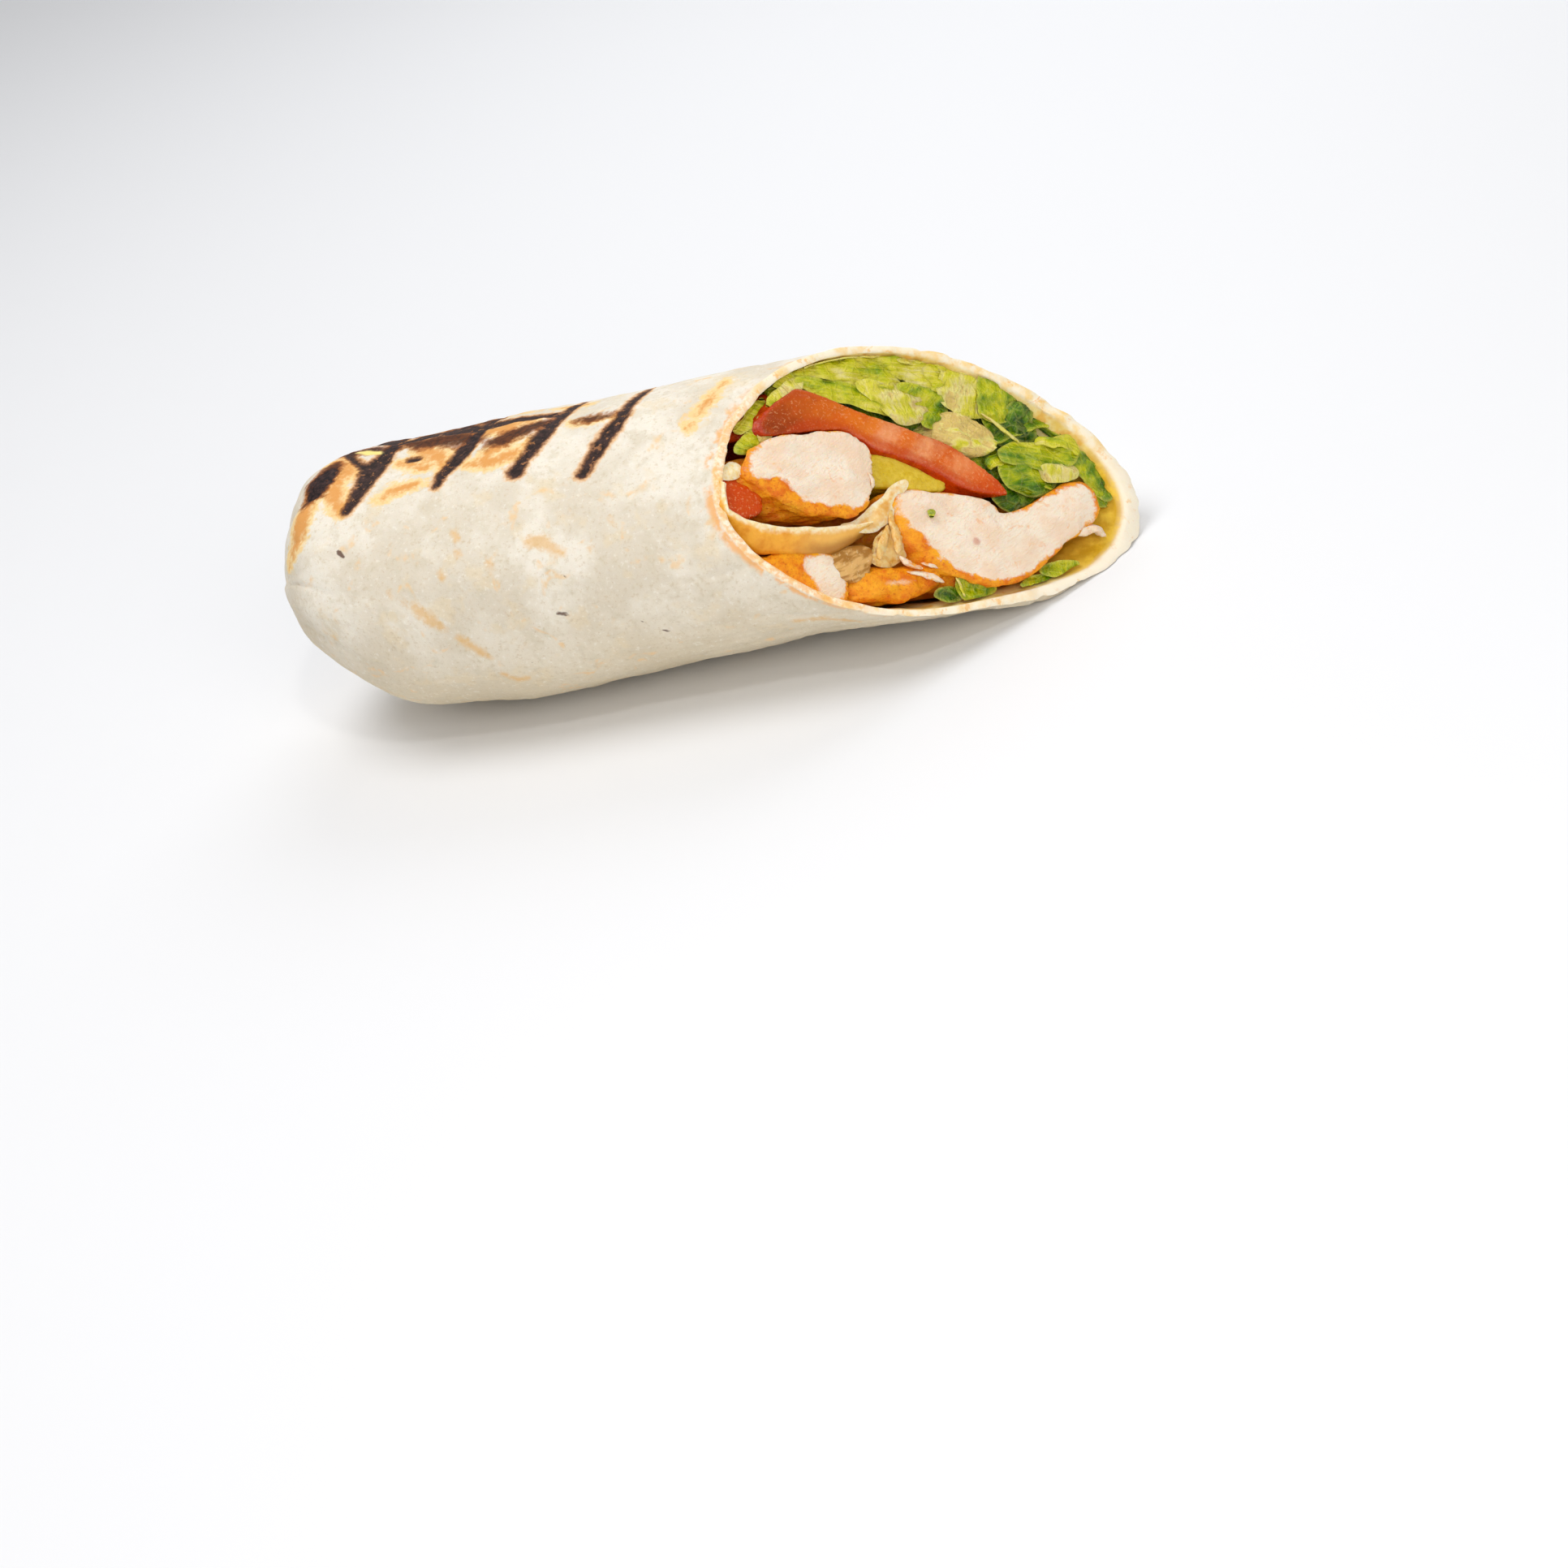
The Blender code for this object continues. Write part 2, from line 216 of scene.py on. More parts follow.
# Meshes: a part is points in mm, faces, and fields, which are values that its look reads.

def gridFaces(rows, columns, closed=True, start=0):
    across = np.arange(columns if closed else columns - 1)
    down = np.arange(rows - 1)[:, None]
    a = down * columns + across
    b = down * columns + (across + 1) % columns
    return (np.stack([a, b, b + columns, a + columns], -1).reshape(-1, 4) + start).tolist()


def insideOf(loop, places):
    crossings = np.zeros(len(places), int)
    for start, end in zip(loop, np.roll(loop, -1, axis=0)):
        spans = (start[1] > places[:, 1]) != (end[1] > places[:, 1])
        rise = end[1] - start[1] if end[1] != start[1] else 1e-9
        at = start[0] + (places[:, 1] - start[1]) / rise * (end[0] - start[0])
        crossings += spans & (places[:, 0] < at)
    return crossings % 2 == 1


def fillOutline(loop, spacing):
    # places inside a closed outline, and triangles over them and it
    low, high = loop.min(0), loop.max(0)
    y, z = np.meshgrid(np.arange(low[0], high[0], spacing),
                       np.arange(low[1], high[1], spacing * 0.87))
    y = y + spacing / 2 * (np.arange(len(y)) % 2)[:, None]
    places = np.stack([y.ravel(), z.ravel()], 1)
    places = places[insideOf(loop, places)]
    places = places[gapTo(loop, places) > spacing * 0.45]
    count = len(loop)
    every = np.vstack([loop, places])
    edges = [(i, (i + 1) % count) for i in range(count)]
    made = delaunay_2d_cdt([Vector(p) for p in every], edges, [], 1, 1e-7)
    first, extra = [], []
    for spot, origins in zip(made[0], made[3]):
        if not origins:
            extra.append(tuple(spot))
        first.append(origins[0] if origins else len(every) + len(extra) - 1)
    if extra:
        every = np.vstack([every, extra])
    return every, [tuple(first[i] for i in face) for face in made[2]]


def joined(parts):
    # one list of points, faces and fields out of several
    points, faces, fields, base = [], [], {}, 0
    for part in parts:
        points.append(part["points"].reshape(-1, 3))
        faces += [tuple(i + base for i in face) for face in part["faces"]]
        for key, value in part["fields"].items():
            value = np.broadcast_to(np.asarray(value, float), part["points"].shape[:-1])
            fields.setdefault(key, []).append(value.ravel())
        base += len(points[-1])
    return {"points": np.vstack(points), "faces": faces,
            "fields": {key: np.concatenate(value) for key, value in fields.items()}}


def makePiece(name, part, finish, nodes=(), sharp=60):
    mesh = bpy.data.meshes.new(name)
    mesh.from_pydata((part["points"] * mm).tolist(), [], part["faces"])
    body = bmesh.new()
    body.from_mesh(mesh)
    bmesh.ops.recalc_face_normals(body, faces=body.faces)
    body.to_mesh(mesh)
    body.free()
    for key, value in part["fields"].items():
        field = mesh.attributes.new(key, "FLOAT", "POINT")
        field.data.foreach_set("value", np.asarray(value, np.float32))
    mesh.materials.append(finish)
    mesh.shade_smooth()
    mesh.set_sharp_from_angle(angle=math.radians(sharp))
    made = bpy.data.objects.new(name, mesh)
    bpy.context.scene.collection.objects.link(made)
    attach(made, "root")
    if nodes:
        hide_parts(*nodes)
    print(name, len(mesh.vertices), "points")
    return made


def sheetPart(grid, thick, fields):
    # a closed thin sheet over a grid of places; thick is a number or a grid of them
    rows, columns = grid.shape[:2]
    normal = np.cross(np.gradient(grid, axis=0), np.gradient(grid, axis=1))
    normal /= np.maximum(np.linalg.norm(normal, axis=-1), 1e-9)[..., None]
    half = np.broadcast_to(np.asarray(thick, float), (rows, columns))[..., None] / 2
    points = np.concatenate([(grid + normal * half).reshape(-1, 3),
                             (grid - normal * half).reshape(-1, 3)])
    faces = gridFaces(rows, columns, closed=False)
    under = rows * columns
    faces += [tuple(i + under for i in reversed(face)) for face in faces]
    edge = ([(0, c) for c in range(columns)] + [(r, columns - 1) for r in range(1, rows)]
            + [(rows - 1, c) for c in range(columns - 2, -1, -1)]
            + [(r, 0) for r in range(rows - 2, 0, -1)])
    ids = [r * columns + c for r, c in edge]
    for a, b in zip(ids, ids[1:] + ids[:1]):
        faces.append((b, a, a + under, b + under))
    doubled = {key: np.tile(np.broadcast_to(value, (rows, columns)).ravel(), 2)
               for key, value in fields.items()}
    return {"points": points, "faces": faces, "fields": doubled}


class Wire:      # one socket of a material, so that its maths can be written as maths
    def __init__(self, tree, socket):
        self.tree, self.socket = tree, socket

    def node(self, kind, settings=None, sockets=None, out=0):
        made = self.tree.nodes.new("ShaderNode" + kind)
        for key, value in (settings or {}).items():
            if key == "stops":
                ramp = made.color_ramp
                for place, colour in value[len(ramp.elements):]:
                    ramp.elements.new(1.0)
                for stop, (place, colour) in zip(ramp.elements, value):
                    stop.position, stop.color = place, colour
            else:
                setattr(made, key, value)
        for key, value in (sockets or {}).items():
            if isinstance(value, Wire):
                self.tree.links.new(value.socket, made.inputs[key])
            else:
                made.inputs[key].default_value = value
        return Wire(self.tree, made.outputs[out])

    def maths(self, operation, a, b=0.0):
        return self.node("Math", {"operation": operation}, {0: a, 1: b})

    def __add__(self, other): return self.maths("ADD", self, other)
    def __sub__(self, other): return self.maths("SUBTRACT", self, other)
    def __rsub__(self, other): return self.maths("SUBTRACT", other, self)
    def __mul__(self, other): return self.maths("MULTIPLY", self, other)
    __radd__, __rmul__ = __add__, __mul__

    def over(self, low, high):      # 0 below low, 1 above high, eased between
        return self.node("MapRange", {"interpolation_type": "SMOOTHSTEP"},
                         {"Value": self, "From Min": low, "From Max": high})

    def field(self, name):          # a value stored on the mesh
        return self.node("Attribute", {"attribute_name": name}, out="Fac")

    def grain(self, size, detail=2.0, rough=0.5, stretch=(1, 1, 1), warp=0.0):
        place = self
        if stretch != (1, 1, 1):
            place = self.node("VectorMath", {"operation": "MULTIPLY"}, {0: self, 1: stretch})
        return place.node("TexNoise", {}, {"Vector": place, "Scale": 1 / size, "Detail": detail,
                                           "Roughness": rough, "Distortion": warp})

    def cells(self, size, feature="F1", out="Distance"):
        return self.node("TexVoronoi", {"feature": feature},
                         {"Vector": self, "Scale": 1 / size}, out)

    def ramp(self, *stops):
        return self.node("ValToRGB", {"stops": stops}, {"Fac": self})

    def mix(self, low, high):       # this value chooses between two colours
        return self.node("Mix", {"data_type": "RGBA"}, {0: self, 6: low, 7: high}, 2)

    def bump(self, depth, strength):
        return self.node("Bump", {}, {"Height": self, "Distance": depth * mm, "Strength": strength})

    def surface(self, **sockets):   # a radius that light goes in by is in mm
        named = {key.replace("_", " "): value for key, value in sockets.items()}
        shader = self.node("BsdfPrincipled", {}, {"Subsurface Scale": mm, **named})
        self.tree.links.new(shader.socket, self.tree.nodes["Material Output"].inputs["Surface"])


def newFinish(name):
    # a new material, and its place in mm as the first wire
    made = bpy.data.materials.new(name)
    made.use_nodes = True
    tree = made.node_tree
    for node in list(tree.nodes):
        if node.type == "BSDF_PRINCIPLED":
            tree.nodes.remove(node)
    start = Wire(tree, tree.nodes.new("ShaderNodeTexCoord").outputs["Object"])
    return made, start.node("VectorMath", {"operation": "MULTIPLY"}, {0: start, 1: (1 / mm,) * 3})


def rgb(red, green, blue):
    # a screen colour, 0 to 255, as the shader takes it
    return tuple((v / 255 / 12.92 if v / 255 <= 0.04045 else ((v / 255 + 0.055) / 1.055) ** 2.4)
                 for v in (red, green, blue)) + (1.0,)


# The camera, the floor and the lights.
view = {
    "azimuth": 12, "elevation": 26, "slant": 10,      # degrees
    "distance": 620,                                  # mm, to the middle of the cut
    "lens": 77.98, "sensor": 36.0,
    "frameSize": 1932, "aim": (1130, 596),            # the pixel of the middle of the cut
}
studio = {
    "world": 0.42, "floor": rgb(240, 241, 244), "floorHeight": -0.0002,
    "lights": (                                       # place and aim in mm, size, watts, colour
        ((-200, -60, 700), (0, 0, 20), 420, 2.2, (1.0, 0.985, 0.965)),
        ((330, -520, 330), (40, 0, 20), 420, 1.35, (1.0, 0.975, 0.94)),
        ((60, 480, 420), (10, 0, 20), 500, 1.1, (0.97, 0.985, 1.0)),
        ((150, -300, 520), (40, 0, 20), 50, 0.35, (1.0, 0.99, 0.96)),
    ),
}


def placeCamera():
    az, el, roll = (math.radians(view[k]) for k in ("azimuth", "elevation", "slant"))
    back = Vector((math.sin(az), -math.cos(az) * math.cos(el), math.cos(az) * math.sin(el)))
    level = Vector((1, 0, 0))
    level = (level - back * level.dot(back)).normalized()
    upright = back.cross(level)
    right = level * math.cos(roll) - upright * math.sin(roll)
    up = level * math.sin(roll) + upright * math.cos(roll)
    focal = view["frameSize"] * view["lens"] / view["sensor"]
    middle = view["frameSize"] / 2
    toward = Vector(((view["aim"][0] - middle) / focal, (middle - view["aim"][1]) / focal, -1))
    turn = toward.normalized().rotation_difference(Vector((0, 0, -1))).to_matrix()
    basis = Matrix((right, up, back)).transposed() @ turn
    target = Vector((wrap["cutX"] + tipX, wrap["axisY"], wrap["axisHeight"])) * mm
    camera = bpy.data.objects.new("camera", bpy.data.cameras.new("camera"))
    camera.data.lens, camera.data.sensor_width = view["lens"], view["sensor"]
    camera.data.clip_start, camera.data.clip_end = 0.01, 20
    camera.matrix_world = Matrix.Translation(target + back * view["distance"] * mm) @ basis.to_4x4()
    bpy.context.scene.collection.objects.link(camera)
    bpy.context.scene.camera = camera


def lightStudio():
    world = bpy.data.worlds.new("studio")
    world.use_nodes = True
    world.node_tree.nodes["Background"].inputs["Color"].default_value = (1, 1, 1, 1)
    world.node_tree.nodes["Background"].inputs["Strength"].default_value = studio["world"]
    bpy.context.scene.world = world
    for number, (place, aim, size, watts, colour) in enumerate(studio["lights"]):
        lamp = bpy.data.lights.new("softbox%d" % number, "AREA")
        lamp.shape, lamp.size, lamp.energy, lamp.color = "DISK", size * mm, watts, colour
        held = bpy.data.objects.new(lamp.name, lamp)
        held.location = Vector(place) * mm
        held.rotation_euler = (Vector(aim) - Vector(place)).to_track_quat("-Z", "Y").to_euler()
        bpy.context.scene.collection.objects.link(held)
    finish, place = newFinish("paleFloor")
    place.surface(Base_Color=studio["floor"], Roughness=0.6 + 0.1 * place.grain(8))
    mesh = bpy.data.meshes.new("floor")
    corners = [(x, y, studio["floorHeight"]) for x, y in ((-4, -4), (4, -4), (4, 6), (-4, 6))]
    mesh.from_pydata(corners, [], [(0, 1, 2, 3)])
    mesh.materials.append(finish)
    floor = bpy.data.objects.new("floor", mesh)
    bpy.context.scene.collection.objects.link(floor)
    bpy.context.scene.view_settings.view_transform = "Standard"


placeCamera()
lightStudio()
print("camera and light")


# The tortilla. Marks are lines on the outside: x from the folded end in mm, angle round
# the axis in degrees (90 is up, 180 the near side), then half the width in mm.
tortilla = {
    "around": 300, "rowStep": 0.72, "cap": (0.1, 0.3, 0.5, 0.7, 0.86), "capRise": 0.5,
    # reliefs in mm, the size of their waves, and where they are: x in mm, angles in degrees
    "dent": 0.45, "dentSize": 13, "blister": 0.16, "blisterSize": 3.2, "charSunk": 0.22,
    "crease": 0.35, "creaseSize": 6.0, "creaseFrom": 60,
    "layer": 0.8, "layerFrom": 234, "layerTo": 326, "layerFade": 14, "layerEdge": 1.2,
    "rimTear": 0.35, "rimTearSize": 2.4, "rimTearFrom": 0.975,
    # rings of points: the first on the outside, as a share of the way to the cut; on the rim,
    # how far across and how proud; inside, by depth, and then as shares of the way back
    "firstShare": 0.002, "lastTurn": 0.994,
    "rimRings": ((0.12, 0.12), (0.35, 0.25), (0.65, 0.25), (0.88, 0.1)),
    "innerDepths": (0.5, 1.1, 1.8, 2.6, 3.6, 4.8, 6.2, 8, 10, 13, 17, 22, 30),
    "innerShares": (0.6, 0.45, 0.3, 0.15, 0.05, 0.0), "deepest": 60.0,
    "char": (
        ((29.4, 52, 0.4), (28.5, 66, 0.8), (27.3, 78, 1.3), (26.5, 85, 2.0), (25.6, 95, 2.2),
         (24.4, 107, 1.6), (23.5, 116, 1.0), (22.3, 122, 0.6)),
        ((15.9, 61, 0.9), (18.6, 57, 1.9), (23.0, 59, 2.2), (28.9, 69, 1.2)),
        ((16.3, 62, 0.5), (20.3, 80, 0.6), (23.8, 90, 0.8)),
        ((16.9, 90, 1.7), (15.6, 98, 2.5), (13.7, 106, 1.8)),
        ((47.9, 52, 0.4), (47.1, 66, 0.8), (46.1, 76, 1.1), (45.1, 83, 1.4), (44.3, 92, 1.7),
         (42.6, 100, 1.7), (41.0, 107, 1.2), (39.9, 115, 0.6)),
        ((64.2, 52, 0.4), (63.4, 66, 0.7), (62.5, 78, 1.0), (61.1, 87, 1.4), (59.9, 95, 1.7),
         (58.5, 103, 1.5), (57.0, 110, 1.1), (55.7, 117, 1.4)),
        ((78.6, 52, 0.4), (77.5, 68, 0.6), (76.4, 81, 0.8), (75.3, 92, 1.1), (73.9, 100, 1.6),
         (72.4, 106, 1.4), (70.9, 114, 1.1), (68.8, 124, 1.0)),
        ((28.5, 69, 0.9), (31.8, 67, 1.3), (34.0, 64, 1.9), (38.6, 65, 2.3), (43.0, 70, 1.7),
         (45.9, 75, 1.2)),
        ((45.9, 74, 1.3), (50.4, 73, 1.6), (54.7, 74, 1.4), (58.7, 75, 1.0), (62.5, 77, 0.9)),
        ((32.9, 89, 0.7), (34.0, 89, 0.7)),
    ),
    "smudge": (
        ((31.0, 72, 1.4), (33.9, 75, 1.9), (37.2, 75, 2.6), (41.7, 79, 2.5), (45.9, 86, 1.4)),
        ((49.7, 93, 1.5), (52.4, 92, 2.3), (55.9, 88, 1.9), (60.0, 82, 1.0)),
        ((66.2, 88, 0.7), (69.5, 89, 1.0), (72.5, 90, 0.8)),
        ((17.2, 83, 1.4), (15.4, 97, 3.0), (13.4, 107, 2.2), (12.0, 112, 1.0)),
        ((17.7, 66, 1.5), (24.7, 74, 1.5), (28.9, 74, 1.2)),
        ((19, 56, 1.0), (25, 58, 1.6), (31, 60, 1.2)), ((38, 57, 1.2), (43, 60, 1.8), (48, 63, 1.0)),
    ),
    "toast": (
        ((14.2, 105, 2.6), (12.8, 116, 3.0), (11.3, 129, 3.0), (9.4, 140, 2.2), (8.0, 149, 1.0)),
        ((29.1, 116, 1.5), (31.3, 112, 2.1), (34.5, 111, 2.1), (37.0, 111, 1.0)),
        ((31.2, 91, 1.5), (36.0, 99, 1.9), (39.0, 95, 1.9)),
        ((45.7, 105, 1.5), (50.9, 107, 2.2), (55.1, 105, 2.1), (57.5, 99, 1.2)),
        ((64.7, 89, 1.2), (69.7, 91, 1.5), (74.6, 93, 0.9)),
        ((16.5, 78, 2.4), (20.1, 86, 2.4), (18.6, 104, 3.0), (20.6, 119, 2.4)),
        ((34.5, 76, 3.0), (38.0, 90, 2.6), (40.5, 101, 2.0)), ((52.0, 78, 3.0), (53.0, 92, 3.4),
                                                               (49.0, 104, 2.2)),
        ((29.5, 70, 2.6), (38.4, 74, 3.0), (46.4, 80, 2.6), (56.7, 80, 2.2)),
        ((19, 56, 2.0), (26, 52, 2.6), (33, 58, 1.6)), ((36, 54, 1.6), (44, 58, 2.4), (53, 62, 1.4)),
        ((60, 64, 1.2), (66, 66, 1.6)), ((94.5, 80, 1.1), (91.4, 97, 1.7), (88.7, 109, 1.2)),
    ),
    "island": (((19.8, 69, 0.5), (23.2, 76, 0.9), (26.0, 78, 0.7)),),
    "tan": (
        ((35.2, 166, 0.9), (37.5, 171, 1.3), (39.7, 175, 0.7)),
        ((41.9, 180, 0.6), (44.3, 185, 1.0), (46.4, 190, 0.4)),
        ((44.7, 142, 0.6), (45.3, 144, 0.6)), ((44.9, 149, 0.6), (45.8, 150, 0.4)),
        ((58.8, 150, 0.9), (61.4, 151, 1.2), (64.7, 156, 0.7)),
        ((41.5, 156, 0.6), (41.8, 157, 0.6)), ((30.6, 160, 0.4), (31.2, 161, 0.4)),
        ((32.9, 163, 0.4), (33.5, 164, 0.4)),
        ((47.1, 199, 0.4), (48.8, 203, 0.7), (51.3, 203, 0.4)),
        ((50.8, 155, 0.4), (51.6, 157, 0.4)), ((69.6, 156, 0.4), (70.1, 157, 0.4)),
        ((102.2, 202, 0.4), (108.0, 204, 0.6), (113.1, 211, 0.4)), ((74.1, 147, 0.4), (75.0, 149, 0.4)),
    ),
    "fleck": (
        ((21.1, 142, 0.6), (22.1, 144, 0.35)), ((61.3, 177, 0.3), (63.0, 178, 0.4)),
        ((79.0, 193, 0.35), (79.7, 194, 0.35)), ((64.5, 164, 0.2), (64.9, 165, 0.2)),
        ((75.8, 186, 0.2), (75.9, 187, 0.2)), ((53.4, 195, 0.2), (53.6, 195, 0.2)),
    ),
}


def strokes(x, angle, marks):
    # how far inside the nearest of some drawn lines each place is, in mm
    arc = np.radians(np.mod(angle + 90, 360)) * wrap["radius"]
    spots = np.stack([x, arc], -1).reshape(-1, 2)
    best = np.full(len(spots), 99.0)
    for mark in marks:
        mark = np.array(mark, float)
        mark[:, 1] = np.radians(np.mod(mark[:, 1] + 90, 360)) * wrap["radius"]
        for (ax, ay, ah), (bx, by, bh) in zip(mark[:-1], mark[1:]):
            start, run = np.array([ax, ay]), np.array([bx - ax, by - ay])
            t = np.clip((spots - start) @ run / max(run @ run, 1e-9), 0, 1)
            away = np.linalg.norm(spots - start - t[:, None] * run, axis=1)
            best = np.minimum(best, away - (ah + (bh - ah) * t))
    return -best.reshape(x.shape)


def outerSurface(turn, share):
    angle = math.radians(wrap["seam"]) + turn * math.tau
    radius = rimRadius(angle)
    x = share * cutAt(radius * np.cos(angle), radius * np.sin(angle))
    nearCut = np.clip((share - wrap["rimShapeFrom"]) / wrap["rimShapeOver"], 0, 1)
    radius = rimRadius(angle, wrap["bodyWaveShare"] + (1 - wrap["bodyWaveShare"]) * nearCut)
    radius = radius + wrap["seamStep"] * np.maximum(0, 1 - turn / wrap["seamSpread"])
    around = np.stack([np.cos(angle) * wrap["radius"], np.sin(angle) * wrap["radius"], x], -1)
    radius = radius + tortilla["dent"] * lumps(around, tortilla["dentSize"], 3)
    size = profileAt(x)
    radius = radius * size - trimAt(x, np.sin(angle))
    height = wrap["axisHeight"] + radius * np.sin(angle) + wrap["tipLift"] * np.maximum(1 - size, 0)
    height = height + bellAt(x, wrap["noseLift"])
    shown = x + wrap["noseFlat"][0] * np.exp(-x / wrap["noseFlat"][1])
    return x, angle, np.stack([shown + tipX, radius * np.cos(angle) + wrap["axisY"], height], -1)


# The tucked end, in mm: it reaches up to "end" and fades over "fade". Each flap rises where
# its edge, a slanted line with a wave, has been passed. The pleats fan out from under them.
fold = {
    "end": 7, "fade": 9, "clear": 2.5, "clearOver": 5,
    "flaps": (         # height, place, slant in y and z, wave, its length, along y or z, softness
        (0.55, 2.0, (-0.45, -1.0), 1.2, 5, 0, 1.6),
        (0.35, -5.5, (0.9, 0.35), 0.8, 4, 1, 2.2),
    ),
    "pleat": 0.8, "pleatCount": 5.5, "pleatMiddle": 11, "pleatSpread": 7.0,
}


def foldRelief(x, angle, place):
    spot = (place[..., 1] - wrap["axisY"], place[..., 2] - wrap["axisHeight"] - wrap["tipLift"])
    flaps = 0
    for height, edge, slant, wave, length, way, soft in fold["flaps"]:
        passed = edge + slant[0] * spot[0] + slant[1] * spot[1] + wave * np.sin(spot[way] / length)
        flaps = flaps + height * ease(passed / soft)
    end = 1 - ease((x - fold["end"]) / fold["fade"])
    clear = ease((np.hypot(*spot) - fold["clear"]) / fold["clearOver"])
    pleats = np.abs(np.sin(angle * fold["pleatCount"] + 0.9 * np.sin(angle * 2 + 1))) ** 0.6 - 0.6
    fan = np.exp(-((x - fold["pleatMiddle"]) / fold["pleatSpread"]) ** 2) * ease(x / 5)
    return end * clear * flaps + fan * pleats * fold["pleat"]


def skinRelief(x, degrees, grid, char, behind):
    # what stands out of the skin or sinks into it, in mm
    make = tortilla
    blister = np.maximum(lumps(grid, make["blisterSize"], 5, 2), -0.3) * ease(x / 6)
    crease = np.exp(-(lumps(grid * np.array([0.25, 1.4, 1.4]), make["creaseSize"], 8) / 0.13) ** 2)
    creased = ease((x - make["creaseFrom"]) / 40) * ease((lumps(grid, 20, 9) + 0.2) * 3)
    # the outermost layer ends a little behind the rim
    turned = np.mod(degrees, 360)
    fade = make["layerFade"]
    side = ease((turned - make["layerFrom"]) / fade) * (1 - ease((turned - make["layerTo"]) / fade))
    edge = ease((behind - make["layerEdge"] - 0.3 * lumps(grid, 4, 16)) / 0.5)
    layer = side * edge * (1 - ease((behind - 12) / 20))
    return (make["blister"] * blister - make["charSunk"] * ease(char / 1.2 + 0.5)
            - make["crease"] * crease * creased + make["layer"] * layer)


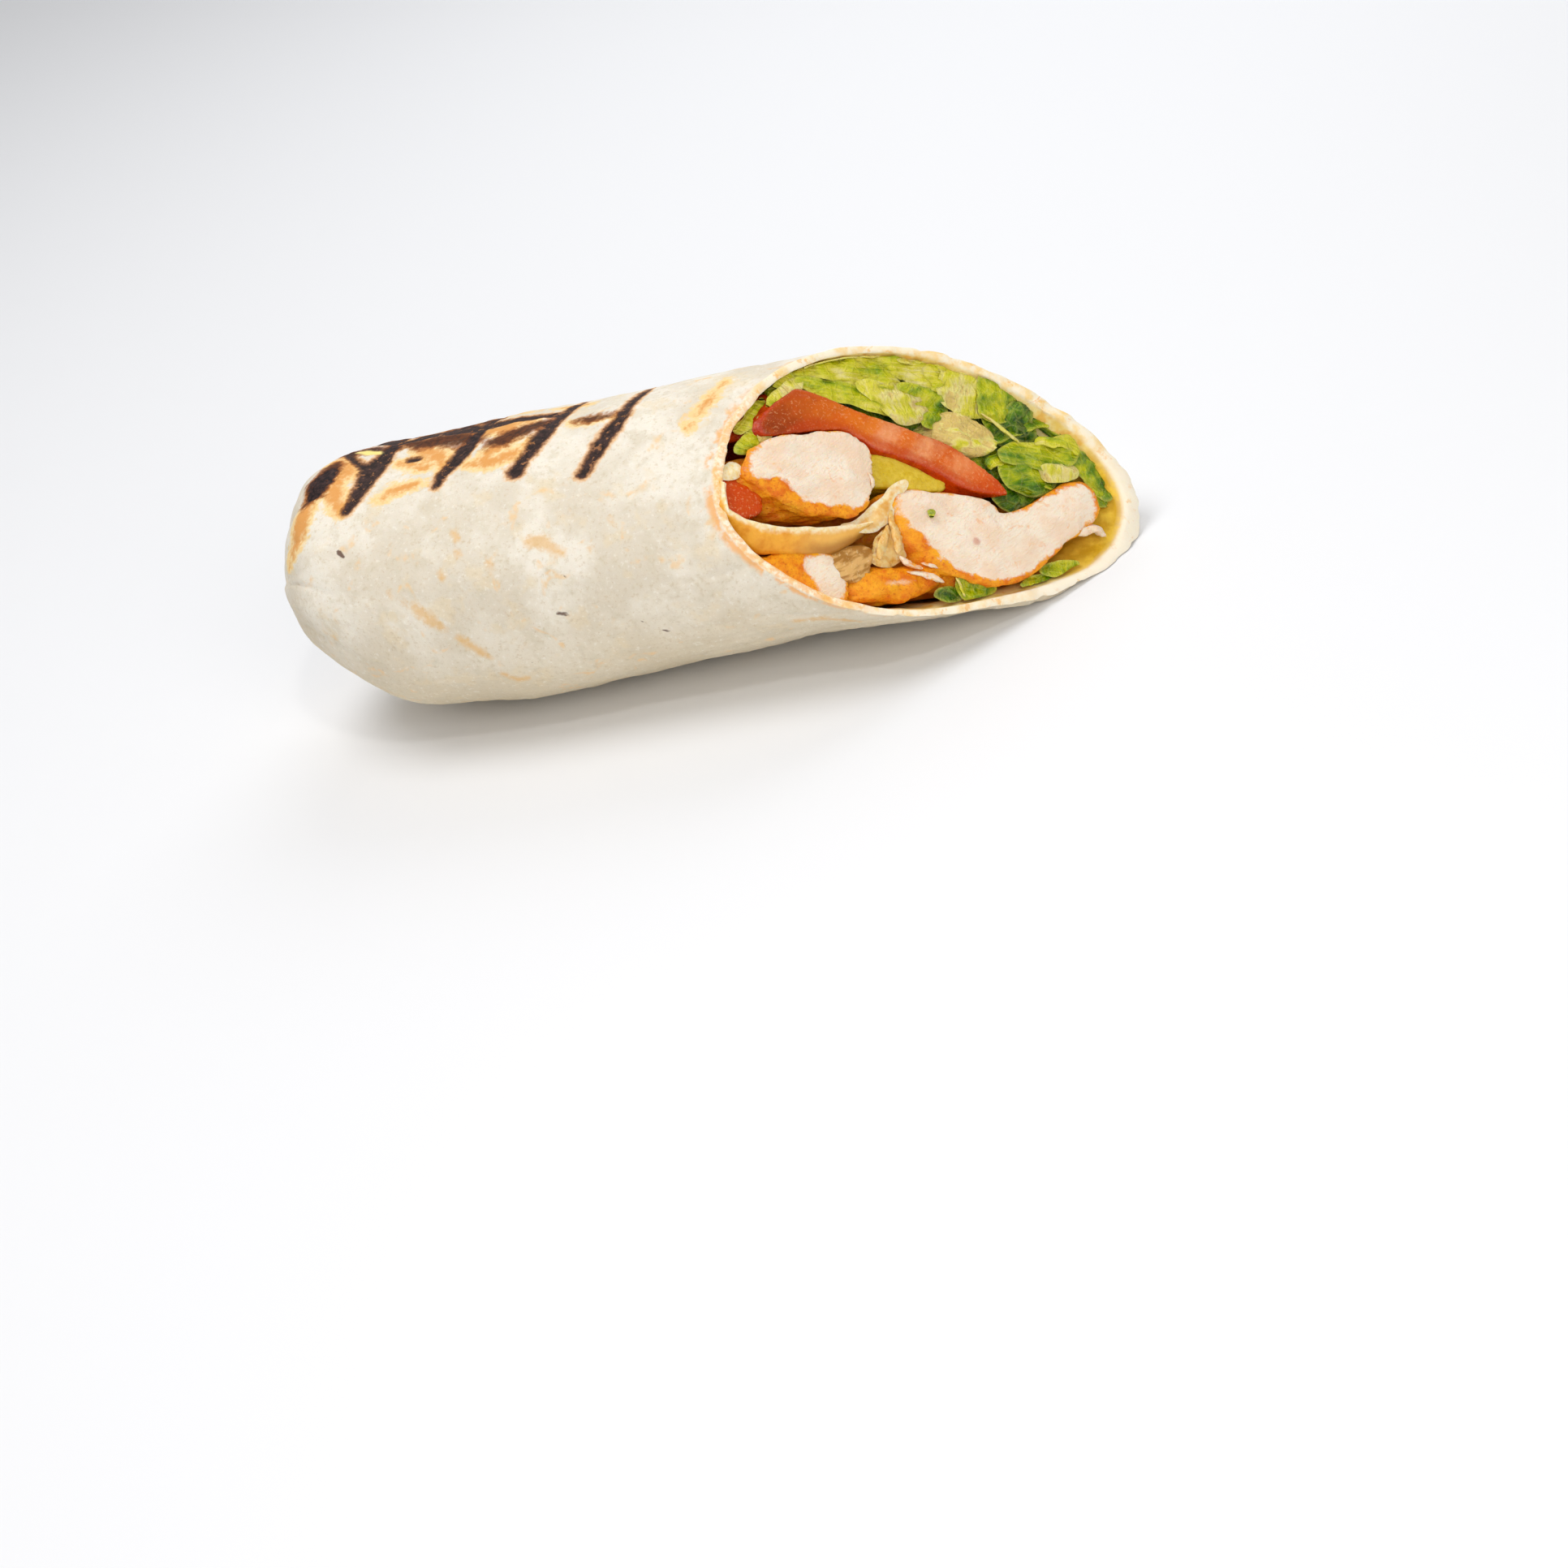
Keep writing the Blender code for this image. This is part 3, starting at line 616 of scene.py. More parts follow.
def makeTortilla():
    count = tortilla["around"]
    capRows = len(tortilla["cap"])
    meridian = np.linspace(0, wrap["cutX"], 4000)
    steps = np.hypot(np.diff(meridian), np.diff(profileAt(meridian) * wrap["radius"]))
    reach = np.concatenate([[0], np.cumsum(steps)])
    rows = int(reach[-1] / tortilla["rowStep"])
    share = np.interp(np.linspace(0, reach[-1], rows), reach, meridian) / wrap["cutX"]
    share = np.concatenate([np.zeros(capRows), share])
    share[:capRows + 1] = tortilla["firstShare"]
    rows = len(share)
    turn = np.linspace(0, tortilla["lastTurn"], count)
    x, angle, grid = outerSurface(np.broadcast_to(turn, (rows, count)),
                                  np.broadcast_to(share[:, None], (rows, count)))
    degrees = np.degrees(angle)
    char = strokes(x, degrees, tortilla["char"])
    normal = np.cross(np.gradient(grid, axis=1), np.gradient(grid, axis=0))
    normal /= np.maximum(np.linalg.norm(normal, axis=-1), 1e-9)[..., None]
    outward = grid - (grid.mean(axis=1, keepdims=True) + np.array([6, 0, 0]))
    if (normal * outward).sum() < 0:
        normal = -normal
    behind = x / share[:, None] - x
    relief = foldRelief(x, angle, grid) + skinRelief(x, degrees, grid, char, behind)
    grid = grid + normal * relief[..., None]
    tear = tortilla["rimTear"] * lumps(grid[-1] * np.array([0, 1, 1]), tortilla["rimTearSize"], 6, 2)
    near = ease((share - tortilla["rimTearFrom"]) / (1 - tortilla["rimTearFrom"]))
    grid[..., 0] += near[:, None] * tear
    first = grid[capRows]
    middle = first.mean(axis=0)
    for row, part in enumerate(tortilla["cap"]):      # the closed tip
        grid[row] = middle + (first - middle) * part
        grid[row, :, 0] -= tortilla["capRise"] * (1 - part ** 2)
    grid[..., 2] = np.maximum(grid[..., 2], 0.02)

    # the rim, the inside, and a floor to it near the folded end
    outerRim = grid[-1]
    rimAngle = angle[-1]
    toward = np.stack([np.cos(rimAngle), np.sin(rimAngle)], 1)
    soft = 0.2 * lumps(raised(toward * 25, 0), 5, 12)

    def innerAt(depth):
        return toward * (rimRadius(rimAngle) - lipAt(rimAngle, depth) + soft)[:, None]

    innerRim = inWrap(innerAt(0.0))
    innerRim[:, 0] += tear
    rim = []
    for t, proud in tortilla["rimRings"]:
        ring = outerRim * (1 - t) + innerRim * t
        ring[:, 0] += proud + 0.12 * lumps(ring, 0.9, 14)
        rim.append(ring)
    innerRim[:, 0] -= 0.1
    inner, innerDepth = [innerRim], [0.0]
    for depth in tortilla["innerDepths"]:
        ring = inWrap(innerAt(depth), 1.0, depth)
        ring[:, 1:] += (0.35 * lumps(ring, 4.5, 15, 2) * min(depth / 3, 1))[:, None] * toward
        inner.append(ring)
        innerDepth.append(depth)
    for part in tortilla["innerShares"]:
        inner.append(inWrap(innerAt(tortilla["deepest"]), part, 0.0, wrap["foldedEnd"]))
        innerDepth.append(tortilla["deepest"])
    shells = np.concatenate([grid, np.array(rim), np.array(inner)])
    total = len(shells)
    faces = gridFaces(total, count)
    points = shells.reshape(-1, 3)
    tip = grid[0].mean(axis=0)
    floor = np.array(inner[-1]).mean(axis=0)
    points = np.vstack([points, tip, floor])
    last = (total - 1) * count
    faces += [((i + 1) % count, i, total * count) for i in range(count)]
    faces += [(last + i, last + (i + 1) % count, total * count + 1) for i in range(count)]

    def spread(values, rest):
        whole = np.full((total, count), float(rest))
        whole[:rows] = values
        return np.concatenate([whole.ravel(), [rest, rest]])

    def padded(values):
        return np.concatenate([values.ravel(), [values.ravel()[0], values.ravel()[-1]]])

    firstInner = rows + len(rim)
    halfway = rows + len(rim) // 2
    rimField, innerField, depthField = (np.zeros((total, count)) for _ in range(3))
    rimField[:rows] = 0.8 * ease((share - 0.993) / 0.007)[:, None]
    rimField[rows:firstInner + 1] = 1
    rimField[firstInner + 1] = 0.7
    rimField[firstInner + 2] = 0.3
    innerField[rows:halfway] = 0.3
    innerField[halfway:] = 1
    depthField[firstInner:] = np.array(innerDepth)[:, None]
    backField = depthField.copy()
    backField[:rows] = behind
    around = np.broadcast_to(np.mod(np.degrees(rimAngle), 360), (total, count))
    fields = {name: spread(strokes(x, degrees, tortilla[name]), -20)
              for name in ("char", "smudge", "toast", "tan", "fleck", "island")}
    fields.update(back=padded(backField), rim=padded(rimField), inner=padded(innerField),
                  depth=padded(depthField), around=padded(around))
    return {"points": points, "faces": faces, "fields": fields}


def bakedTortilla():
    finish, place = newFinish("bakedTortilla")
    inner, rim, around = place.field("inner"), place.field("rim"), place.field("around")
    cloud = place.grain(14, 3, 0.55)
    mottle = place.grain(3.2, 4, 0.6)
    fine = place.grain(0.9, 3, 0.6)
    speck = place.grain(0.5, 2, 0.6)
    skin = cloud.over(0.38, 0.62).mix(rgb(222, 212, 194), rgb(238, 231, 217))
    # painted shade: the underside is painted darker and warmer, as it lies in shade with warm bounce light
    under = around.over(150, 230) * (1 - around.over(300, 345))
    skin = (under * 0.75).mix(skin, rgb(216, 200, 168))
    skin = (mottle.over(0.5, 0.68) * 0.5).mix(skin, rgb(214, 203, 180))
    skin = (place.grain(6, 3, 0.6).over(0.54, 0.68) * 0.5).mix(skin, rgb(230, 212, 178))
    skin = (fine.over(0.54, 0.72) * 0.45).mix(skin, rgb(203, 186, 156))
    skin = (speck.over(0.62, 0.72) * 0.35).mix(skin, rgb(196, 168, 128))
    skin = (fine.over(0.3, 0.42) * -0.4 + 0.4).mix(skin, rgb(246, 241, 230))
    blush = place.grain(5.0, 2, 0.5, warp=0.6).over(0.6, 0.72) * place.grain(1.6, 2).over(0.35, 0.6)
    skin = (blush * 0.65).mix(skin, rgb(240, 200, 142))
    # soft tan and browned patches
    ragged = (mottle - 0.5) * 2.6 + (fine - 0.5) * 1.6
    tan = (place.field("tan") + ragged * 0.9).over(-0.7, 0.8)
    skin = (tan * 0.65).mix(skin, rgb(229, 182, 110))
    toast = (place.field("toast") + ragged * 2.0).over(-2.0, 3.0)
    skin = (toast.over(0.05, 0.4) * 0.8).mix(skin, rgb(247, 212, 142))
    skin = (toast.over(0.4, 0.95) * 0.8).mix(skin, rgb(222, 144, 58))
    halo = (place.field("char") + ragged * 0.7).over(-1.8, 0.2)
    skin = (halo.over(0.1, 0.6) * 0.6).mix(skin, rgb(232, 172, 96))
    skin = (halo.over(0.45, 1.0) * 0.8).mix(skin, rgb(150, 84, 36))
    smudge = (place.field("smudge") + ragged * 1.6).over(-1.9, 1.5)
    skin = (smudge.over(0.0, 0.5) * 0.75).mix(skin, rgb(160, 92, 44))
    burnt = fine.over(0.35, 0.65).mix(rgb(46, 26, 24), rgb(92, 50, 30))
    skin = (smudge.over(0.4, 1.0) * 0.92).mix(skin, burnt)
    island = (place.field("island") + ragged * 0.3).over(-0.3, 0.5)
    skin = island.mix(skin, rgb(250, 228, 140))
    char = (place.field("char") + ragged * 0.9).over(-0.6, 0.4)
    # gaps where it is only browned
    char = char * (1 - place.grain(1.3, 3, 0.65).over(0.58, 0.66) * 0.75)
    skin = (char * 0.97).mix(skin, fine.over(0.35, 0.75).mix(rgb(20, 14, 18), rgb(70, 50, 48)))
    fleck = (place.field("fleck") + ragged * 0.15).over(-0.12, 0.2)
    skin = (fleck * 0.85).mix(skin, rgb(84, 46, 30))
    # the rim and a line of juice along it
    warm = around.over(80, 110) * (1 - around.over(185, 215))
    back = place.field("back") + (mottle - 0.5) * 2.4
    juice = back.over(0.1, 0.7) * (1 - back.over(1.0, 2.4)) * warm
    juice = juice * place.grain(4, 3, 0.6).over(0.42, 0.56)
    skin = (juice * 0.75).mix(skin, rgb(244, 172, 84))
    # inside and rim take the juices, and deeper inside is painted shade
    within = mottle.over(0.35, 0.7).mix(rgb(252, 230, 160), rgb(244, 208, 104))
    within = (place.grain(4.5, 3, 0.6).over(0.52, 0.64) * 0.75).mix(within, rgb(238, 176, 60))
    lower = around.over(262, 285) * (1 - around.over(325, 345))
    yellow = mottle.over(0.35, 0.65).mix(rgb(244, 200, 40), rgb(214, 164, 8))
    within = (lower * 0.9).mix(within, yellow)
    # painted shade: darker brown deeper inside the tube
    deep = place.field("depth").over(6, 18)
    within = (deep * 0.55).mix(within, rgb(150, 95, 20))
    skin = inner.over(0.2, 0.9).mix(skin, within)
    crust = mottle.over(0.42, 0.7).mix(rgb(253, 241, 216), rgb(248, 214, 150))
    crust = (place.grain(2.0, 3, 0.6).over(0.57, 0.68) * 0.7).mix(crust, rgb(246, 186, 96))
    skin = (rim.over(0.2, 0.9) * 0.95).mix(skin, crust)
    skin = (rim * warm * fine.over(0.35, 0.6) * 0.6).mix(skin, rgb(244, 172, 86))
    # painted light: the rim's lower edge is painted near white, standing in for light bounced up onto it
    bottom = around.over(240, 262) * (1 - around.over(322, 342))
    skin = (rim * bottom * mottle.over(0.3, 0.6) * 0.7).mix(skin, rgb(255, 247, 232))
    right = around.over(328, 348) + (1 - around.over(24, 50))
    skin = (rim * right * mottle.over(0.35, 0.6) * 0.5).mix(skin, rgb(250, 210, 122))
    height = mottle * 0.5 + fine * 0.3 + place.grain(0.35, 2) * 0.15 - char * 0.35
    place.surface(Base_Color=skin, Roughness=0.72 - 0.2 * inner - 0.12 * char + 0.12 * fine,
                  Normal=height.bump(0.55, 0.55), Subsurface_Weight=0.12,
                  Subsurface_Radius=(0.9, 0.6, 0.35),
                  Specular_IOR_Level=0.2)
    return finish


makePiece("bakedTortilla", makeTortilla(), bakedTortilla(), ["tortilla"], sharp=55)


# The tortilla's inner end, a ribbon that holds the left chicken up. Two lines in the
# section: the cut edge, and where the ribbon's outer face runs out of sight behind it,
# which lies deeper and is given as it looks from in front.
innerFold = {
    "edge": ((-19.8, 17.1), (-21.4, 16.2), (-22.5, 14.6), (-22.9, 12.8), (-22.9, 10.8), (-22.3, 8.8),
             (-21.2, 6.9), (-19.4, 5.1), (-17.1, 3.4), (-14.9, 1.6), (-12.9, 0.3), (-11.0, -0.7)),
    "hang": ((-19.6, 17.6), (-21.7, 16.5), (-23.3, 14.8), (-24.6, 12.5), (-25.5, 10.2), (-26.2, 7.7),
             (-26.3, 5.5), (-25.0, 3.8), (-23.2, 2.0), (-21.4, 0.3), (-19.2, -0.9), (-16.0, -1.3),
             (-13.3, -1.4), (-11.1, -1.0)),
    "drop": 3.4, "thick": 1.0, "back": (1.0, 2.5, 6.0, 12.0), "columns": 110, "rows": 12,
    # loose flaps of it: outline as seen from in front, depth, way and steepness it leans
    "flaps": (
        (((-17.2, 17.9), (-15.2, 18.5), (-14.4, 17.4), (-14.9, 15.9), (-16.9, 15.6), (-18.6, 16.7)), 0.6,
         (-1, 0.3), 0.2),
        (((-14.6, 1.3), (-12.3, 0.9), (-9.3, 1.0), (-5.8, 1.3), (-2.3, 1.9), (-0.5, 1.4), (-1.8, 0.4),
          (-4.5, -0.2), (-6.8, -1.4), (-9.4, -2.4), (-11.6, -2.2), (-13.7, -0.9)), -0.3, (-0.6, -0.8),
         0.35),
    ),
}


def seen(depth):
    # how far a place must move in the section to look the same from that much deeper
    return np.stack([0.69 * depth, -0.336 * depth], -1)


def patch(outline, depth, tintA, tintB, toward=(0.7, 0.7), tilt=0.3, curl=0.6, crumple=0.55, thick=0.4,
          seed=0, step=0.45, ruffle=0.45, hold=-0.5):
    # a crumpled leaf that faces out: its outline as seen from in front, how deep it lies,
    # its tint from one side to the other, and how steeply it goes back that way
    loop = np.array(outline, float)
    length = np.linalg.norm(loop - np.roll(loop, 1, axis=0), axis=1).sum()
    loop = curve(loop, max(24, int(length / 0.4)), closed=True)
    rough = 0.3 * lumps(raised(loop, seed * 2.3), 2.2, seed, 2)
    loop = loop + sideways(loop, closed=True) * rough[:, None]
    flat, triangles = fillOutline(loop, step)
    edge = gapTo(loop, flat)
    toward = np.array(toward, float) / math.hypot(*toward)
    run = (flat - flat.mean(axis=0)) @ toward
    across = (flat - flat.mean(axis=0)) @ np.array([-toward[1], toward[0]])
    probe = raised(flat, seed * 2.3)
    deep = depth + tilt * run + curl * (1 - ease(edge / 1.5)) + crumple * lumps(probe, 2.4, seed, 3)
    deep = deep + ruffle * np.sin(across * math.tau / 3.6 + 1.5 * lumps(probe, 3, seed + 1) + seed)
    spot = withinWall(flat + seen(deep), hold)
    top = inWrap(spot, 1.0, deep)
    inner = np.arange(len(flat)) >= len(loop)
    under = inWrap(spot, 1.0, deep + thick * ease(edge / 0.5))[inner]
    below = np.arange(len(flat))
    below[inner] = len(flat) + np.arange(inner.sum())
    faces = list(triangles) + [tuple(int(below[i]) for i in reversed(face)) for face in triangles]
    t = (run - run.min()) / max(np.ptp(run), 1e-6)
    tint = tintA + (tintB - tintA) * t + 0.14 * lumps(probe, 2.2, seed + 4, 2)
    fields = {"tint": tint, "rim": np.clip(1 - edge / 0.9, 0, 1), "run": run, "across": across}
    return {"points": np.vstack([top, under]), "faces": faces,
            "fields": {key: np.concatenate([value, value[inner]]) for key, value in fields.items()}}


def makeInnerFold():
    columns, rows = innerFold["columns"], innerFold["rows"]
    edge, hang = curve(innerFold["edge"], columns), curve(innerFold["hang"], columns)
    t = np.linspace(0, 1, columns)
    layers, look = [], []
    for v in np.linspace(0, 1, rows):
        depth = np.full(columns, innerFold["drop"] * v)
        spot = withinWall(edge + (hang - edge) * v ** 0.85 + seen(depth), -0.7)
        layers.append(inWrap(spot, 1.0, depth - 0.5 * (1 - v)))
        look.append(np.full(columns, v))
    for more in innerFold["back"]:
        depth = np.full(columns, innerFold["drop"] + more)
        spot = withinWall(hang + seen(np.full(columns, innerFold["drop"] + more * 0.6)), -0.7)
        layers.append(inWrap(spot, 1.0, depth))
        look.append(np.full(columns, 1.0))
    grid, look = np.array(layers), np.array(look)
    grid[..., 2] += 0.25 * lumps(grid, 3.5, 21, 2)
    grid[..., 0] += 0.3 * lumps(grid, 2.2, 22)
    thick = innerFold["thick"] * (0.35 + 0.65 * ease((1 - t) / 0.25)) * (0.8 + 0.3 * ease(look * 3))
    part = sheetPart(grid, thick, {"lip": look, "run": t})
    flaps = []
    for number, (outline, depth, toward, lean) in enumerate(innerFold["flaps"]):
        flap = patch(outline, depth, 0.0, 0.0, toward, lean, curl=0.5, crumple=0.4, ruffle=0.2, thick=0.8,
                     seed=23 + number)
        tint = flap["fields"]["rim"]
        flap["fields"] = {"lip": 0.2 - 0.3 * tint - 0.3 * (number == 0), "run": 0.62 + 0 * tint}
        flaps.append(flap)
    return joined([part] + flaps)


def foldedTortilla():
    finish, place = newFinish("foldedTortilla")
    lip, run = place.field("lip"), place.field("run")
    mottle, fine = place.grain(2.6, 3, 0.6), place.grain(0.7, 3, 0.6)
    face = mottle.over(0.35, 0.68).mix(rgb(246, 178, 48), rgb(228, 148, 14))
    face = (run.over(0.5, 0.75) * 0.6).mix(face, rgb(244, 198, 108))
    # painted shade: dark brown on the part of the ribbon that runs back out of sight
    face = (run.over(0.55, 0.72) * lip.over(0.35, 0.85) * 0.8).mix(face, rgb(168, 104, 24))
    pale = fine.over(0.35, 0.7).mix(rgb(253, 236, 200), rgb(247, 212, 140))
    colour = (lip + (mottle - 0.5) * 0.35).over(0.04, 0.28).mix(pale, face)
    height = mottle * 0.5 + fine * 0.3
    place.surface(Base_Color=colour, Roughness=0.42 + 0.25 * fine, Normal=height.bump(0.5, 0.6),
                  Subsurface_Weight=0.25, Subsurface_Radius=(1.4, 0.8, 0.3))
    return finish


makePiece("innerFold", makeInnerFold(), foldedTortilla(), sharp=70)


# how far behind its face the rings of a piece lie, and then their shares of the way back
ringDepths = (0.5, 1.1, 1.8, 2.6, 3.5, 4.6, 6.0, 7.8, 10.0, 14.0, 20.0)
ringShares = (0.6, 0.4, 0.2, 0.06, 0.0)
ringDeepest = 30.0


def chunk(outline, belly=None, front=0.0, crown=0.4, corner=1.0, rough=0.3, side=0.35, size=3.0,
          step=0.5, seed=0, hold=-0.4, spine=None, bare=None):
    # a piece cut through at its face, which lies front behind the cut; crown is how far the
    # face stands out in its middle, corner the rounding of its edge, belly its outline further
    # back, spine a line that colours follow, and bare the part of the face without crust
    face = withinWall(outline, hold)
    belly = withinWall(outline if belly is None else belly, hold)
    flat, triangles = fillOutline(face, step)
    edge = gapTo(face, flat)
    near = np.clip(edge / corner, 0, 1)
    depth = front + corner * (1 - np.sqrt(1 - (1 - near) ** 2)) - crown * ease(edge / 4)
    depth = depth + rough * lumps(raised(flat, 0), size, seed, 3) * ease(edge / 0.8)
    shown = edge
    if bare is not None:
        bare = curve(bare, 80, closed=True)
        shown = gapTo(bare, flat) * np.where(insideOf(bare, flat), 1, -1)
    along, across = np.zeros(len(flat)), np.zeros(len(flat))
    if spine is not None:
        line = curve(spine, 60)
        nearest = np.argmin(np.linalg.norm(flat[:, None] - line[None], axis=-1), axis=1)
        along = nearest / 59
        across = ((flat - line[nearest]) * sideways(line)[nearest]).sum(axis=1)
    parts = [{"points": inWrap(flat, 1.0, depth), "faces": triangles,
              "fields": {"face": 1.0, "edge": shown, "along": along, "across": across,
                         "behind": depth - front}}]
    count = len(face)
    out = sideways(face, closed=True)
    rings, deep = [parts[0]["points"][:count]], [0.0]
    for back in ringDepths:
        loop = face + (belly - face) * ease(back / 4)
        bump = side * (lumps(raised(loop, back), size * 0.9, seed + 3, 3) + 0.3) * min(back / 1.5, 1)
        loop = withinWall(loop + out * bump[:, None], hold * 0.5)
        rings.append(inWrap(loop, 1.0, front + corner + back))
        deep.append(back)
    for share in ringShares:
        rings.append(inWrap(belly, share))
        deep.append(ringDeepest)
    parts.append({"points": np.array(rings), "faces": gridFaces(len(rings), count),
                  "fields": {"face": 0.0, "edge": 0.0, "along": along[:count], "across": across[:count],
                             "behind": np.array(deep)[:, None]}})
    flatEnd = tessellate_polygon([[Vector((y, z, 0)) for y, z in belly]])
    parts.append({"points": inWrap(belly, 0.0), "faces": flatEnd,
                  "fields": {"face": 0.0, "edge": 0.0, "along": 0.5, "across": 0.0,
                             "behind": ringDeepest}})
    whole = joined(parts)
    # the rings start on the cap's own edge points
    firstRing = len(parts[0]["points"])
    lastRing = firstRing + len(rings) * count
    same = np.arange(len(whole["points"]))
    same[firstRing:firstRing + count] = np.arange(count)
    same[lastRing:lastRing + count] = np.arange(lastRing - count, lastRing)
    kept = np.unique(same)
    number = np.full(len(same), -1)
    number[kept] = np.arange(len(kept))
    whole["faces"] = [tuple(int(number[same[i]]) for i in face) for face in whole["faces"]]
    whole["points"] = whole["points"][kept]
    whole["fields"] = {key: value[kept] for key, value in whole["fields"].items()}
    return whole


def strand(path, depths, thick, seed=0, squash=0.6, fields=None, twist=0.0):
    # a torn fibre: a closed tube along places that are given as they look from in front
    count, around = 36, 14
    line = curve([(*spot, depth, wide) for spot, depth, wide in zip(path, depths, thick)], count)
    flat = line[:, :2] + seen(line[:, 2])
    spine = inWrap(withinWall(flat, 0.4), 1.0, line[:, 2])
    along = np.gradient(spine, axis=0)
    along /= np.linalg.norm(along, axis=1)[:, None]
    upright = np.cross(along, np.array([0.75, 0.2, 0.6]))
    upright /= np.linalg.norm(upright, axis=1)[:, None]
    other = np.cross(along, upright)
    t = np.linspace(0, 1, count)
    wide = line[:, 3] * np.sqrt(np.clip(1 - (2 * t - 1) ** 8, 0.0, 1))
    rings = []
    for i in range(count):
        turn = np.linspace(0, math.tau, around, endpoint=False) + twist * t[i]
        circle = np.stack([np.cos(turn), np.sin(turn)], 1) * 2
        rough = 1 + 0.35 * lumps(raised(circle, t[i] * 9), 1.2, seed)
        rings.append(spine[i] + wide[i] * rough[:, None]
                     * (np.cos(turn)[:, None] * upright[i] + squash * np.sin(turn)[:, None] * other[i]))
    rings = np.array(rings)
    points = np.vstack([rings.reshape(-1, 3), spine[:1], spine[-1:]])
    faces = gridFaces(count, around)
    top, last = count * around, (count - 1) * around
    faces += [((i + 1) % around, i, top) for i in range(around)]
    faces += [(last + i, last + (i + 1) % around, top + 1) for i in range(around)]
    values = {"face": 0.0, "edge": 0.0, "along": 0.5, "across": 0.0, "behind": 2.0}
    values.update(fields or {})
    return {"points": points, "faces": faces,
            "fields": {key: np.full(len(points), float(value)) for key, value in values.items()}}


